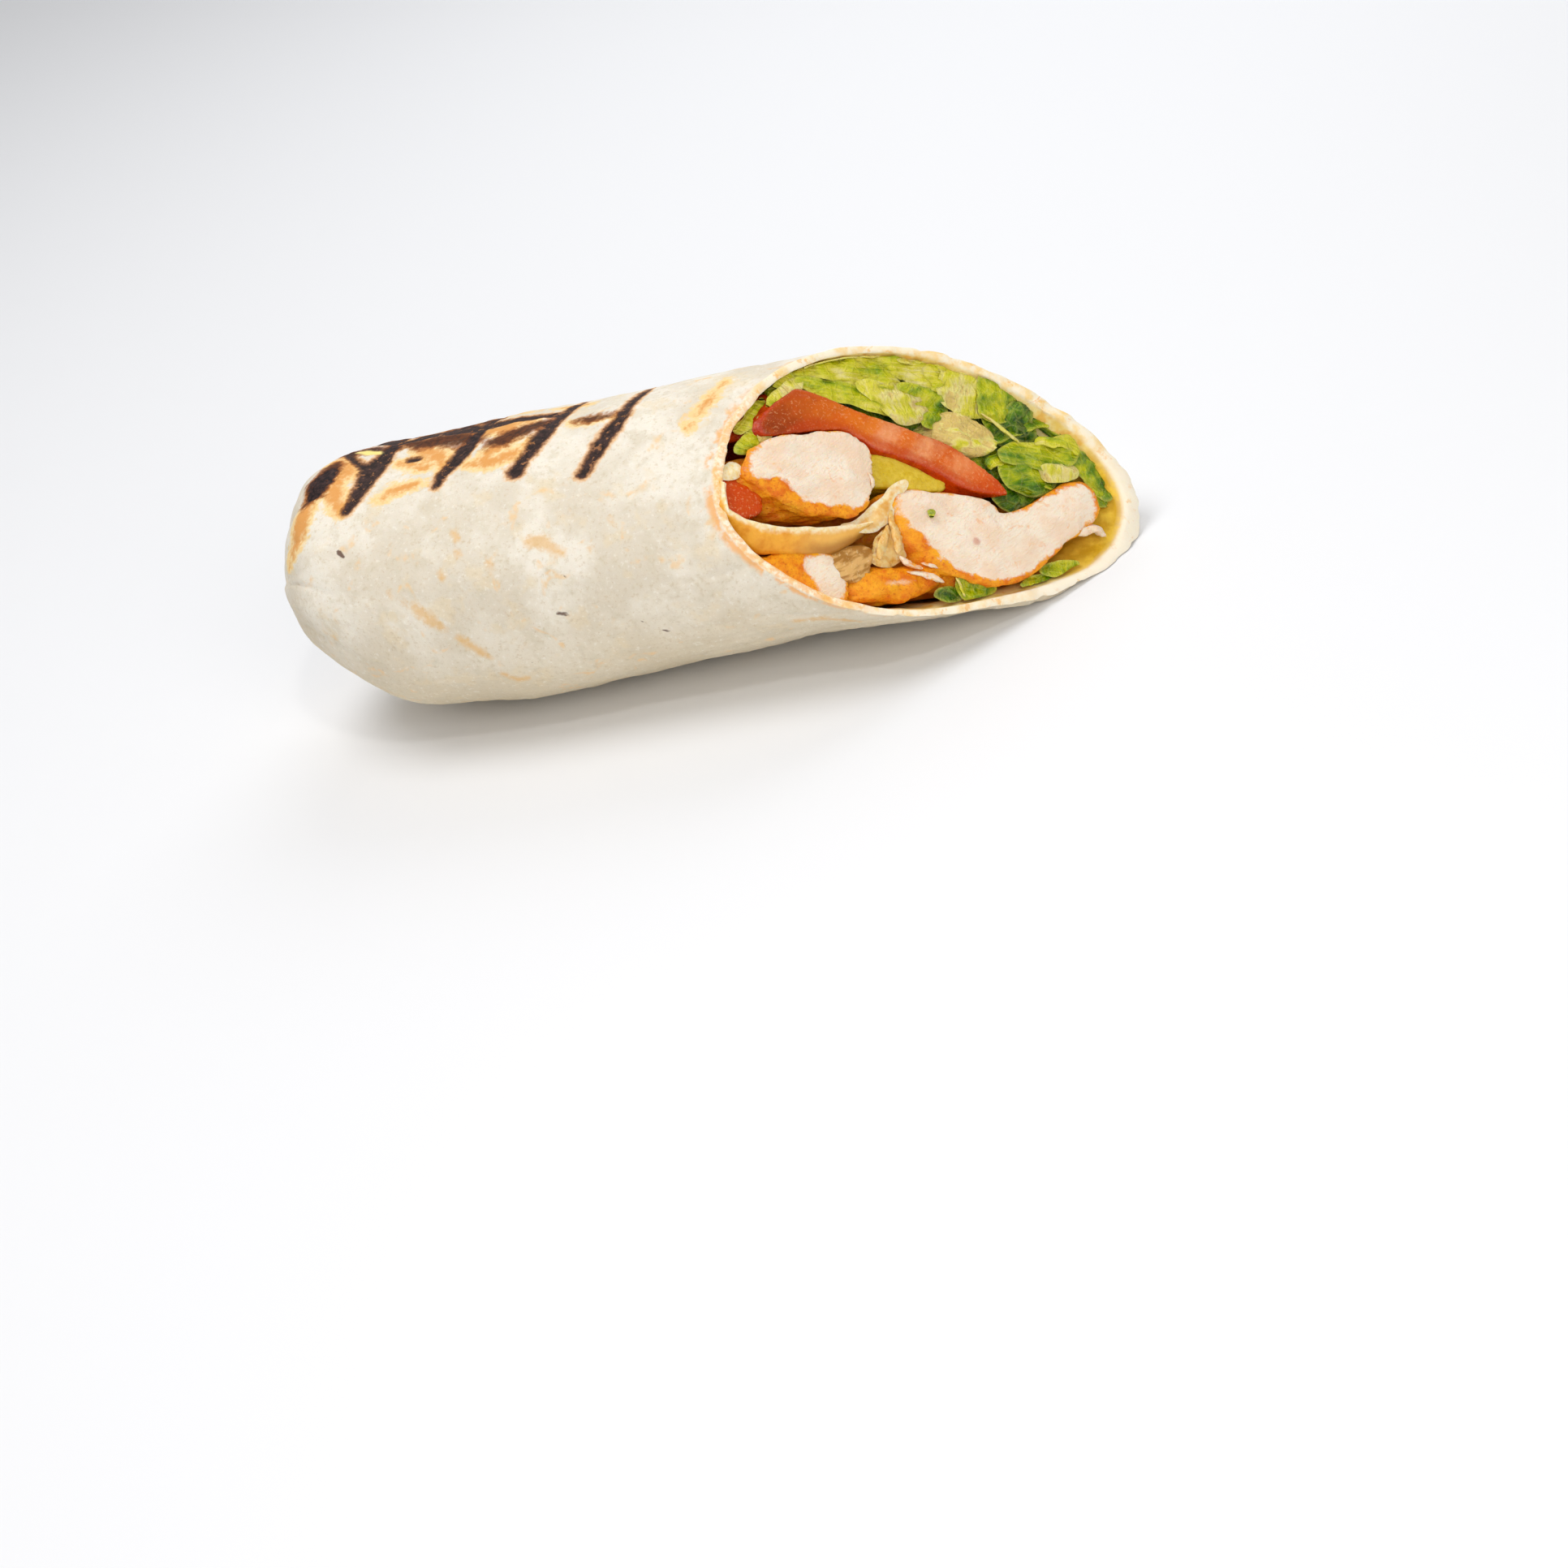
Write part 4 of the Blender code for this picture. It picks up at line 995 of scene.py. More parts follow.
chicken = {
    "left": {"outline": ((-14.7, 16.7), (-12.1, 17.8), (-9.0, 18.0), (-6.7, 17.9), (-4.1, 16.3),
                         (-1.4, 14.5), (0.8, 12.5), (1.2, 10.7), (0.0, 7.7), (-2.3, 5.6), (-4.7, 4.0),
                         (-7.9, 2.2), (-10.2, 1.3), (-12.4, 1.7), (-13.8, 3.4), (-15.2, 5.0), (-16.2, 7.2),
                         (-16.6, 9.2), (-16.2, 11.2), (-16.0, 13.0), (-16.2, 14.8)),
             "bare": ((-14.6, 16.5), (-12.1, 17.9), (-9.0, 18.1), (-6.7, 18.0), (-4.1, 16.4), (-1.4, 14.6),
                      (0.7, 12.4), (1.1, 10.7), (-0.1, 7.8), (-2.4, 5.8), (-4.8, 4.3), (-7.9, 2.6),
                      (-9.8, 1.9), (-11.2, 2.4), (-11.8, 4.1), (-13.2, 4.8), (-14.3, 6.4), (-15.0, 8.6),
                      (-14.5, 10.7), (-14.1, 12.4), (-15.4, 13.8), (-15.6, 15.2)), "swell": ((-1, -1.4),
                                                                                             3.2),
             "front": -1.2, "seed": 31, "cut": {"crown": 0.5, "corner": 0.9, "rough": 0.55}},
    "right": {"outline": ((-5.6, 0.2), (-4.2, 0.9), (-2.6, 0.3), (-0.4, -1.7), (2.0, -4.2), (3.5, -6.3),
                          (4.0, -8.2), (3.3, -10.0), (4.5, -11.3), (6.7, -11.9), (9.8, -12.2),
                          (13.4, -12.6), (16.5, -13.3), (17.1, -14.4), (16.2, -16.4), (14.2, -18.4),
                          (11.6, -19.6), (8.0, -20.0), (5.0, -20.0), (1.7, -20.3), (-2.2, -20.5),
                          (-5.4, -20.2), (-8.2, -19.3), (-10.2, -17.6), (-11.1, -14.9), (-11.4, -11.6),
                          (-10.7, -8.6), (-9.7, -5.8), (-8.0, -2.8)), "bare": ((-4.9, 0.5), (-4.2, 0.9),
                                                                               (-2.7, 0.4), (-0.5, -1.6),
                                                                               (1.9, -4.1), (3.5, -6.2),
                                                                               (4.1, -8.2), (3.3, -10.0),
                                                                               (4.5, -11.2), (6.7, -11.8),
                                                                               (9.8, -12.1), (13.4, -12.5),
                                                                               (16.2, -13.5),
                                                                               (16.5, -14.4),
                                                                               (15.5, -16.1),
                                                                               (13.4, -18.0),
                                                                               (11.0, -19.2), (7.0, -19.3),
                                                                               (2.5, -19.6), (-1.9, -19.8),
                                                                               (-4.9, -19.7),
                                                                               (-6.9, -19.0),
                                                                               (-9.3, -17.2),
                                                                               (-10.2, -14.7),
                                                                               (-10.6, -11.6),
                                                                               (-9.8, -8.5), (-8.8, -5.7),
                                                                               (-7.3, -2.9)),
              "swell": ((-1, -0.8), 0.9), "front": -1.0, "seed": 41, "cut": {"crown": 0.9, "corner": 0.9,
                                                                             "rough": 0.6, "size": 4.0}},
    "lowLeft": {"outline": ((-26.0, 2.6), (-23.2, 2.4), (-20.0, 0.6), (-18.0, -1.0), (-17.8, -3.2),
                            (-19.4, -6.4), (-22.4, -9.0), (-25.0, -9.4), (-26.6, -6.6), (-27.0, -1.6)),
                "bare": ((-21.7, -0.2), (-18.8, -1.0), (-18.5, -2.9), (-20.1, -5.9), (-23.0, -8.2),
                         (-25.0, -8.5), (-26.0, -7.0), (-25.1, -4.3), (-23.6, -2.0)), "swell": ((1, -1),
                                                                                                0.4),
                "front": 3.0, "seed": 51, "cut": {"crown": 0.6, "corner": 1.3}},
    "lowMid": {"outline": ((-19.5, -7.0), (-17.2, -6.7), (-14.5, -7.9), (-13.0, -9.6), (-10.3, -10.4),
                           (-9.1, -12.0), (-9.4, -14.0), (-11.5, -15.1), (-14.3, -15.0), (-17.3, -14.4),
                           (-20.1, -12.2), (-22.3, -9.7)), "front": 2.0, "seed": 61, "cut": {"crown": 1.0,
                                                                                             "corner": 2.0,
                                                                                             "rough": 0.8,
                                                                                             "size": 2.0}},
    "shreds": (                            # as seen from in front: places, depths, half widths
        (((-13.6, -7.0), (-13.9, -8.3), (-13.7, -9.5), (-13.2, -10.4)), (1.0, 0.6, 0.5, 0.7),
         (0.4, 0.8, 0.7, 0.3)),
        (((-15.4, -9.4), (-14.3, -11.0), (-13.6, -12.5), (-13.4, -13.9)), (1.1, 0.7, 0.7, 0.9),
         (0.3, 0.7, 0.8, 0.4)),
        (((-12.6, -9.6), (-11.9, -10.9), (-11.1, -12.3)), (1.0, 0.8, 1.0), (0.3, 0.5, 0.35)),
        (((7.4, -19.0), (8.6, -19.8), (9.9, -20.2), (10.8, -21.1), (10.4, -22.7)), (0.4, 0.1, 0.0, 0.1, 0.6),
         (0.6, 1.1, 1.3, 1.2, 0.6)),
        (((-3.0, 5.4), (-4.0, 4.0), (-5.2, 3.2)), (-1.0, -1.1, -0.9), (0.25, 0.5, 0.3)),
    ),
    "bruise": ((-4.8, -11.3), 1.1),          # a pink spot on the right piece, and its radius
}


def roastChicken(name, crusty):
    finish, place = newFinish(name)
    face, edge, behind = place.field("face"), place.field("edge"), place.field("behind")
    cloud, mottle, fine = place.grain(5, 2, 0.5), place.grain(1.8, 3, 0.6), place.grain(0.5, 3, 0.6)
    fibre = place.grain(0.55, 3, 0.6, stretch=(0.5, 0.35, 1.6), warp=0.4)
    meat = cloud.over(0.35, 0.65).mix(rgb(247, 231, 210), rgb(243, 217, 190))
    meat = (fibre.over(0.5, 0.7) * 0.5).mix(meat, rgb(240, 203, 164))
    meat = (mottle.over(0.6, 0.74) * 0.35).mix(meat, rgb(246, 182, 118))
    # painted highlights: fine near-white specks on the meat
    meat = (fine.over(0.6, 0.8) * 0.3).mix(meat, rgb(255, 247, 236))
    centre, radius = chicken["bruise"]
    spot = tuple(float(v) for v in inWrap(np.array(centre), 1.0, -1.6))
    away = place.node("VectorMath", {"operation": "DISTANCE"}, {0: place, 1: spot}, "Value")
    away = away + (mottle - 0.5) * 1.2
    meat = ((1 - away.over(radius * 0.3, radius)) * 0.6).mix(meat, rgb(206, 128, 104))
    crust = mottle.over(0.3, 0.7).mix(rgb(249, 166, 24), rgb(224, 112, 4))
    crust = (cloud.over(0.45, 0.7) * 0.6).mix(crust, rgb(250, 180, 36))
    crust = (fine.over(0.55, 0.7) * 0.55).mix(crust, rgb(186, 70, 2))
    # painted shade: the crust darkens further back behind the face, where it lies deeper in the wrap
    crust = (behind.over(3, 10) * 0.5).mix(crust, rgb(150, 56, 2))
    meat = (place.grain(3.4, 4, 0.65, warp=0.8).over(0.6, 0.68) * 0.45).mix(meat, rgb(240, 168, 96))
    bleed = edge + (mottle - 0.5) * 1.8 + (fine - 0.5) * 0.9 + (cloud - 0.5) * 2.2
    inside = face * (bleed.over(2.6, 3.8) if crusty else bleed.over(-0.1, 0.55))
    colour = inside.mix(crust, meat)
    height = fibre * 0.6 + mottle * (1 - face * 0.45) * 0.9 + fine * 0.3
    place.surface(Base_Color=colour, Roughness=0.34 + 0.18 * fine + 0.08 * face,
                  Normal=height.bump(0.6, 0.7),
                  Subsurface_Weight=0.3, Subsurface_Radius=(1.6, 0.8, 0.35),
                  Specular_IOR_Level=0.25)
    return finish


def makeChicken():
    pale, seared = roastChicken("roastChicken", False), roastChicken("searedChicken", True)
    for name, part, node in (("chickenLeft", "left", "chicken_left"),
                             ("chickenRight", "right", "chicken_right"),
                             ("chickenLowLeft", "lowLeft", "chicken_low_left"),
                             ("chickenLowMid", "lowMid", "chicken_low_mid")):
        make = chicken[part]
        outline = curve(make["outline"], 190, closed=True)
        rough = 0.4 * lumps(raised(outline, 0), 2.0, make["seed"], 3)
        outline = outline + sideways(outline, closed=True) * rough[:, None]
        belly = swell(outline, *make["swell"]) if "swell" in make else outline
        whole = chunk(outline, belly, make["front"], seed=make["seed"], side=0.6,
                      bare=make.get("bare"), **make["cut"])
        finish, slot = (seared, "seared_chicken") if part == "lowMid" else (pale, "chicken")
        makePiece(name, whole, finish, [node])
    shreds = [strand(path, depths, thick, seed=70 + i, fields={"face": 1.0, "edge": 0.55})
              for i, (path, depths, thick) in enumerate(chicken["shreds"])]
    makePiece("chickenShreds", joined(shreds), pale)


makeChicken()


# Tomato, pickle and onion.
vegetables = {
    "tomato": {"outline": ((-7.0, 18.6), (-6.2, 19.8), (-4.6, 20.8), (-2.0, 21.4), (1.6, 22.0),
                           (3.8, 21.6), (5.0, 18.8), (5.7, 15.6), (6.4, 12.5), (7.4, 9.8), (8.1, 7.4),
                           (8.7, 5.2), (9.4, 3.2), (9.7, 0.6), (9.4, -2.4), (9.1, -4.6), (8.5, -7.2),
                           (7.4, -9.0), (6.2, -8.0), (4.8, -6.2), (4.0, -3.8), (4.0, -0.6), (3.5, 2.1),
                           (2.6, 4.9), (1.6, 7.4), (1.6, 9.6), (1.4, 12.3), (-0.8, 14.4), (-3.4, 16.1),
                           (-6.1, 17.6)), "spine": ((-6.8, 18.8), (-1.6, 19.2), (2.4, 16.6), (4.4, 11.2),
                                                    (5.8, 5.2), (6.7, -0.8), (7.4, -8.6)),
               "cut": {"front": -0.6, "crown": 0.2, "corner": 0.7, "rough": 0.35, "side": 0.2, "size": 2.2,
                       "step": 0.45, "seed": 81}},
    "tomatoBit": {"outline": ((-19.6, 15.4), (-17.1, 16.2), (-15.0, 15.4), (-13.6, 13.4), (-15.4, 10.8),
                              (-18.4, 8.6), (-21.6, 9.6), (-21.6, 12.5), (-20.6, 14.6)),
                  "cut": {"front": 2.0, "corner": 0.8, "seed": 83, "side": 0.3}},
    "pickle": {"outline": ((0.2, 6.6), (2.4, 6.4), (3.6, 4.2), (4.4, 0.8), (5.2, -1.6), (4.7, -3.3),
                           (3.0, -3.9), (1.2, -2.6), (-0.4, -1.0), (-2.0, 0.8), (-3.2, 2.4), (-1.8, 4.4)),
               "cut": {"front": 2.0, "corner": 0.6, "rough": 0.35, "size": 1.6, "seed": 85, "side": 0.2}},
    "onion": {"outline": ((-19.4, -2.8), (-16.8, -2.4), (-13.6, -3.5), (-13.4, -5.5), (-16.1, -6.9),
                          (-18.9, -8.2), (-21.3, -6.2), (-20.7, -4.0)), "cut": {"front": 2.3, "crown": 0.5,
                                                                                "corner": 0.9,
                                                                                "rough": 0.12, "size": 2.4,
                                                                                "side": 0.15,
                                                                                "seed": 87}},
    "strands": (                          # as seen from in front: places, depths, half widths
        (((-6.4, -0.6), (-8.4, -2.0), (-10.0, -3.8), (-11.4, -5.2), (-13.4, -6.6)),
         (0.6, 0.3, 0.3, 0.4, 0.8), (0.3, 0.7, 1.0, 1.1, 0.5)),
        (((-9.6, -2.4), (-12.0, -3.6), (-14.2, -4.6), (-16.2, -5.8)), (0.9, 0.6, 0.7, 1.2),
         (0.4, 0.8, 0.9, 0.5)),
    ),
    # a crumpled scrap between them, outline as seen from in front
    "scrap": ((-9.7, -2.2), (-8.3, -2.4), (-9.9, -4.5), (-11.9, -6.6), (-14.4, -8.0), (-16.5, -7.7),
              (-17.4, -6.2), (-16.8, -4.7), (-14.2, -3.2), (-11.8, -2.5)),
}


def wetTomato():
    finish, place = newFinish("wetTomato")
    along, face, edge = place.field("along"), place.field("face"), place.field("edge")
    mottle, fine = place.grain(1.8, 3, 0.6), place.grain(0.5, 3, 0.6)
    run = along + (mottle - 0.5) * 0.12
    # painted shade: the ramp starts dark red-brown at the upper-left end of the slice, where it lies in shade
    flesh = run.ramp((0.0, rgb(140, 50, 2)), (0.14, rgb(168, 68, 4)), (0.26, rgb(206, 98, 16)),
                     (0.38, rgb(222, 112, 14)), (0.46, rgb(226, 122, 34)), (0.52, rgb(238, 156, 104)),
                     (0.58, rgb(222, 110, 26)), (0.66, rgb(236, 158, 104)), (0.73, rgb(216, 96, 12)),
                     (0.8, rgb(234, 142, 84)), (0.88, rgb(222, 104, 40)), (0.95, rgb(204, 72, 4)))
    # painted highlights: fine pale orange specks on the wet flesh
    flesh = (fine.over(0.54, 0.7) * 0.45).mix(flesh, rgb(246, 184, 128))
    flesh = (place.grain(3.2, 2).over(0.5, 0.7) * 0.5).mix(flesh, rgb(204, 82, 4))
    low = place.field("across") + (mottle - 0.5) * 1.2
    flesh = (low.over(0.9, 2.4) * 0.65).mix(flesh, rgb(190, 60, 2))
    flesh = ((1 - low.over(-3.0, -1.6)) * 0.45).mix(flesh, rgb(186, 66, 8))
    skin = mottle.over(0.3, 0.7).mix(rgb(206, 70, 4), rgb(170, 42, 2))
    colour = (face * (edge + (fine - 0.5) * 0.5).over(-0.05, 0.35)).mix(skin, flesh)
    height = mottle * 0.6 + fine * 0.4
    place.surface(Base_Color=colour, Roughness=0.16 + 0.2 * fine, Normal=height.bump(0.5, 0.5),
                  Subsurface_Weight=0.3, Subsurface_Radius=(2.0, 0.7, 0.2),
                  Specular_IOR_Level=0.3)
    return finish


def pickledSlice():
    finish, place = newFinish("pickledSlice")
    face, edge = place.field("face"), place.field("edge")
    mottle, fine = place.grain(1.6, 3, 0.6), place.grain(0.45, 2, 0.6)
    flesh = mottle.over(0.3, 0.7).mix(rgb(232, 206, 72), rgb(216, 184, 36))
    flesh = (fine.over(0.6, 0.72) * 0.5).mix(flesh, rgb(176, 146, 16))
    colour = (face * edge.over(0.0, 0.5)).mix(rgb(190, 164, 16), flesh)
    place.surface(Base_Color=colour, Roughness=0.15 + 0.2 * fine, Normal=(mottle + fine * 0.6).bump(0.5, 0.5),
                  Subsurface_Weight=0.3, Subsurface_Radius=(1.5, 1.3, 0.3),
                  Specular_IOR_Level=0.3)
    return finish


def softOnion():
    finish, place = newFinish("softOnion")
    mottle, fine = place.grain(1.6, 3, 0.6), place.grain(0.5, 3, 0.6, stretch=(1, 0.5, 0.5))
    colour = mottle.over(0.32, 0.68).mix(rgb(244, 206, 138), rgb(228, 170, 82))
    colour = (fine.over(0.5, 0.7) * 0.5).mix(colour, rgb(250, 226, 178))
    colour = (mottle.over(0.58, 0.72) * 0.5).mix(colour, rgb(180, 112, 30))
    layers = place.grain(1.3, 2, 0.5, stretch=(0.3, 0.5, 1.6), warp=0.3)
    layer = layers.over(0.4, 0.6).mix(rgb(222, 176, 108), rgb(172, 120, 52))
    layer = (fine.over(0.58, 0.72) * 0.4).mix(layer, rgb(246, 220, 168))
    colour = place.field("slice").mix(colour, layer)
    place.surface(Base_Color=colour, Roughness=0.22 + 0.2 * fine,
                  Normal=(mottle * 0.5 + fine * 0.4).bump(0.45, 0.5),
                  Subsurface_Weight=0.4, Subsurface_Radius=(1.8, 1.2, 0.4),
                  Specular_IOR_Level=0.3)
    return finish


def makeVegetables():
    def cut(name, count):
        make = vegetables[name]
        return chunk(curve(make["outline"], count, closed=True), spine=make.get("spine"), **make["cut"])

    tomato = wetTomato()
    makePiece("tomatoSlice", cut("tomato", 190), tomato, ["tomato_slice"])
    small = cut("tomatoBit", 90)
    small["fields"]["along"] = np.full(len(small["points"]), 0.97)
    makePiece("tomatoBit", small, tomato, ["tomato_bit"])
    makePiece("pickleSlice", cut("pickle", 110), pickledSlice(), ["pickle_slice"])
    onion = softOnion()
    bit = cut("onion", 90)
    bit["fields"]["slice"] = np.ones(len(bit["points"]))
    makePiece("onionSlice", bit, onion, ["onion_slice"])
    strands = [strand(path, depths, thick, seed=90 + i, twist=4.0)
               for i, (path, depths, thick) in enumerate(vegetables["strands"])]
    strands.append(patch(vegetables["scrap"], 0.9, 0.0, 0.0, (-0.7, -0.7), 0.1, curl=0.9, crumple=0.9,
                         ruffle=0.3, thick=0.6, seed=95))
    for part in strands:
        part["fields"] = {"slice": 0 * part["points"][:, 0]}
    makePiece("onionStrand", joined(strands), onion, ["onion_strand"])


makeVegetables()


# Lettuce. Outlines and edges are given as seen from in front. A tint goes from 0, pale, to
# 1, dark green. Every group but the frills lists leaves: outline, depth, the tint at either
# side, the way that the leaf leans back, and how steeply.
lettuce = {
    "thick": 0.38, "step": 0.34, "rows": 13,      # of a frill: mm, mm between points, points
    "leaves": (
        (((5.9, 23.3), (7.7, 21.5), (9.6, 18.5), (10.5, 14.7), (10.3, 11.4), (9.2, 9.8), (7.8, 11.8),
          (6.4, 14.6), (5.2, 17.4), (4.4, 20.4), (4.2, 22.3)), -0.3, 0.36, 0.54, (0.8, 0.5), 0.35),
        (((4.6, 24.2), (10.2, 23.4), (13.7, 21.5), (15.8, 18.6), (15.8, 15), (14.1, 12.1), (11.2, 11.9),
          (10.0, 15.3), (9.1, 18.9), (7.1, 21.8)), 1.0, 0.32, 0.44, (0.7, 0.7), 0.2),
        (((10.4, 17.5), (13.1, 15.9), (14.5, 12.9), (14.4, 9.8), (13.1, 7.5), (10.5, 6.8), (8.7, 8.0),
          (8.0, 10.3), (9.0, 13.7)), -0.5, 0.3, 0.02, (0.7, -0.5), 0.25),
        (((13.0, 22.0), (17.4, 20.4), (20.5, 17.7), (22.6, 14.8), (22.5, 11.3), (19.5, 9.0), (16.6, 10.7),
          (15.4, 14), (14.7, 17.3), (13.2, 19.7)), 1.4, 0.26, 0.4, (0.7, 0.7), 0.1),
        (((14.1, 13.3), (16.8, 11.4), (17.2, 8.2), (14.6, 5.2), (11.4, 4.4), (10.1, 6.3), (12.0, 8.5)),
         0.6, 0.5, 0.66, (0.3, -0.9), 0.2),
        (((21.8, 11.9), (23.6, 9.9), (24.3, 6.7), (21.3, 3.9), (17.9, 2.2), (16.0, 4.2), (16.6, 8.2)), 0.8,
         0.14, 0.22, (0.5, -0.8), 0.15),
        (((20.5, 15.3), (23.4, 13.0), (23.4, 9.7), (18.6, 8.1), (16.9, 10.1), (16.8, 12.9)), 1.2, 0.36,
         0.22, (0.7, 0.7), 0.1),
        (((25.2, 8.2), (26.5, 6.1), (26.4, 3.3), (23.6, 0.9), (20.2, -0.4), (18.0, 0.7), (17.9, 3.1),
          (21.1, 5.7)), 0.2, 0.52, 0.6, (0.7, -0.7), 0.2),
        (((25.8, 2.4), (25.3, 0.0), (22.6, -2.4), (20, -4.8), (17.8, -4.3), (17.9, -1.4), (18.9, 1.1),
          (21.5, 1.4), (23.8, 1.9)), 0.9, 0.84, 0.98, (0.3, -0.9), 0.15),
        (((18, 2.5), (19.0, -0.2), (18.5, -3.2), (19.6, -4.9), (18.7, -6.5), (15.9, -4.5), (14.9, -2.0)),
         1.8, 0.9, 1.0, (0, -1), 0.1),
        (((13.7, -2.9), (16.4, -3.1), (18.7, -4.9), (21.5, -6.2), (24.0, -7.0), (23.0, -9.4), (20, -11.0),
          (17.0, -10.5), (14.9, -8.7), (13.3, -6.4), (12.3, -4.6)), -0.6, 0.42, 0.62, (-0.8, -0.6), -0.2),
        (((12.1, -4.4), (13.7, -5.9), (15.5, -8.3), (16.3, -10.2), (13.6, -12.2), (9.8, -11.9),
          (8.5, -9.2), (9.4, -6.5)), -0.3, 0.5, 0.86, (-0.5, -0.9), 0.25),
        (((15.1, -8.7), (17.7, -9.4), (19.4, -11.3), (17.7, -13.1), (15.2, -12.8), (13.7, -10.7)), -1.3,
         0.08, 0.2, (0.6, -0.7), 0.1),
        (((8.0, -7.2), (9.9, -9.0), (11.2, -11.5), (13.9, -11.4), (16.8, -12.7), (14.1, -13.9), (7.9, -13.4),
          (4.9, -12.3), (4.6, -10.3), (5.5, -7.8)), 2.2, 0.9, 1.0, (0, -1), 0.1),
        (((21.6, -9.4), (22.8, -11.8), (21.8, -15.2), (19.2, -18.3), (16.6, -18.6), (16.7, -15.9),
          (18.0, -13.1), (18.7, -11.2)), 0.8, 0.62, 0.74, (0.7, -0.6), 0.3),
        (((23.3, -6.1), (24.5, -8.7), (22.8, -12.1), (20.6, -10.5), (21.5, -8.2)), 2.2, 0.8, 0.95,
         (0.7, -0.7), 0.2),
        (((16.4, -15.2), (18.8, -17.2), (16.8, -19.2), (14.4, -18.0)), 1.6, 0.6, 0.7, (0.7, -0.7), 0.2),
    ),
    "stem": (((18.3, 3.0), (18.2, 1.0), (17.8, -1.2), (17.4, -3.9)), (-0.6, -0.6, -0.5, 0.2),
             (0.35, 0.5, 0.55, 0.35)),
    "rib": ((10.4, 3.0), (12.6, 5.2), (15.6, 5.8), (16.9, 3.9), (17.0, 1.2), (16.0, -1.4), (13.5, -2.9),
            (11.3, -2.2), (10.5, 0.2)),
    # frilled sheets tucked between and behind the leaves: front edge, width and to which
    # side, depth of the front, how much deeper the back lies, tint at front and back; the back is tinted
    # darker, as painted shade
    "frills": (
        (((-0.4, 22.8), (3.0, 21.8), (6.2, 18.4), (8.6, 13.4)), 3.2, 1.4, 3.0, 0.5, 0.7),
        (((8.2, 16.2), (10.8, 12.6), (12.4, 9.2), (13.4, 5.6)), 3.4, 1.8, 3.0, 0.45, 0.7),
        (((3.4, 23.6), (8.4, 21.4), (12.2, 17.8), (14.6, 13.2)), 3.0, 2.0, 3.0, 0.34, 0.5),
        (((12.4, 17.6), (15.8, 13.8), (17.8, 10.0), (18.4, 6.4)), 3.6, 2.2, 2.4, 0.3, 0.55),
        (((8.2, 24.0), (13.2, 22.0), (17.2, 18.6), (20.0, 14.6)), 2.2, 1.2, 2.2, 0.1, 0.35),
        (((18.2, 17.4), (21.4, 13.8), (23.4, 10.2), (24.2, 6.6)), 2.2, 1.4, 2.2, 0.2, 0.45),
        (((12.2, -1.6), (15.6, -2.4), (19.6, -3.0), (23.4, -4.4)), 2.6, 1.2, 1.8, 0.6, 0.9),
        (((9.8, -4.8), (12.6, -5.2), (15.0, -7.2), (17.2, -9.6)), 2.2, 0.2, 1.4, 0.4, 0.6),
        (((18.6, -5.6), (20.8, -7.6), (21.6, -10.4)), 1.6, -0.9, 1.0, 0.3, 0.5),
        (((8.8, -8.6), (11.4, -9.8), (13.2, -12.2)), 1.6, 0.4, 1.2, 0.45, 0.8),
        (((24.4, -3.6), (24.4, -7.2), (23.4, -10.8), (20.8, -15.2)), -2.2, 2.4, 2.0, 0.7, 0.85),
    ),
    "left": (
        (((-2.4, 21.9), (-0.4, 22.9), (3.2, 23.4), (6.0, 22.6), (4.4, 21.2), (1.9, 20.7), (-0.6, 21.0)),
         -0.2, 0.4, 0.08, (0.9, -0.3), 0.1),
        (((-12.9, 18.9), (-10.3, 20.1), (-7, 20.9), (-4.6, 21.4), (-5.8, 18.9), (-8.3, 17.3),
          (-10.9, 17.4)), 1.2, 0.62, 0.3, (0.9, 0.4), 0.15),
        (((-4.7, 21.4), (-4.6, 19.7), (-6.7, 17.9), (-8.6, 17.9), (-7.2, 19.9)), 0.4, 0.08, 0.02,
         (0.9, 0.4), 0.1),
        (((0.8, 23.9), (5.0, 24.3), (7.7, 23.9), (5.5, 22.8), (2.6, 22.7)), 0.6, 0.5, 0.4, (0.9, 0), 0.1),
        (((-9.4, 21.6), (-5.2, 23.0), (-1.2, 23.7), (-2.0, 21.8), (-5.6, 20.6), (-8.8, 20.2)), 1.8, 0.2,
         0.4, (0.9, 0.3), 0.1),
    ),
    "low": (
        (((-17.0, -14.8), (-15, -13.9), (-13.0, -15.0), (-13.4, -16.9), (-15.3, -17.3)), 1.6, 0.92, 1.0,
         (0.5, -0.8), 0.2),
        (((-12.3, -14.6), (-10.3, -15.0), (-9.5, -17.3), (-9.2, -19.2), (-12.2, -19.4), (-14.3, -17.5)),
         1.0, 0.72, 0.6, (0.5, -0.8), 0.2),
    ),
    "lowStem": (((-11.4, -14.2), (-12.2, -15.4), (-14.0, -17.6)), (0.8, 0.6, 1.0), (0.25, 0.4, 0.3)),
    "right": (
        (((-1.5, -20.4), (1.9, -21.4), (3.5, -23.1), (1.9, -24.5), (-1.0, -23.8), (-2.4, -21.7)), 0.8, 0.5,
         0.42, (0.6, -0.7), 0.2),
        (((-6.3, -20.5), (-2.4, -21.0), (-0.1, -22.5), (-2.2, -23.4), (-5.8, -22.7)), 1.4, 0.6, 0.7,
         (0.6, -0.7), 0.2),
    ),
    "fleck": ((-3.5, -4.2), (-2.8, -4.4), (-3.0, -5.0), (-4.0, -5.5), (-4.4, -5.0)),
    "core": ((6.4, 19.4), (9.0, 21.6), (14.6, 19.4), (21.4, 13.4), (25.0, 6.0), (25.8, -4.0),
             (23.6, -12.4), (19.4, -14.0), (14.0, -11.4), (10.0, -10.4), (11.0, -4.6),
             (10.2, 1.6), (8.6, 9.0), (7.8, 14.6)),
}


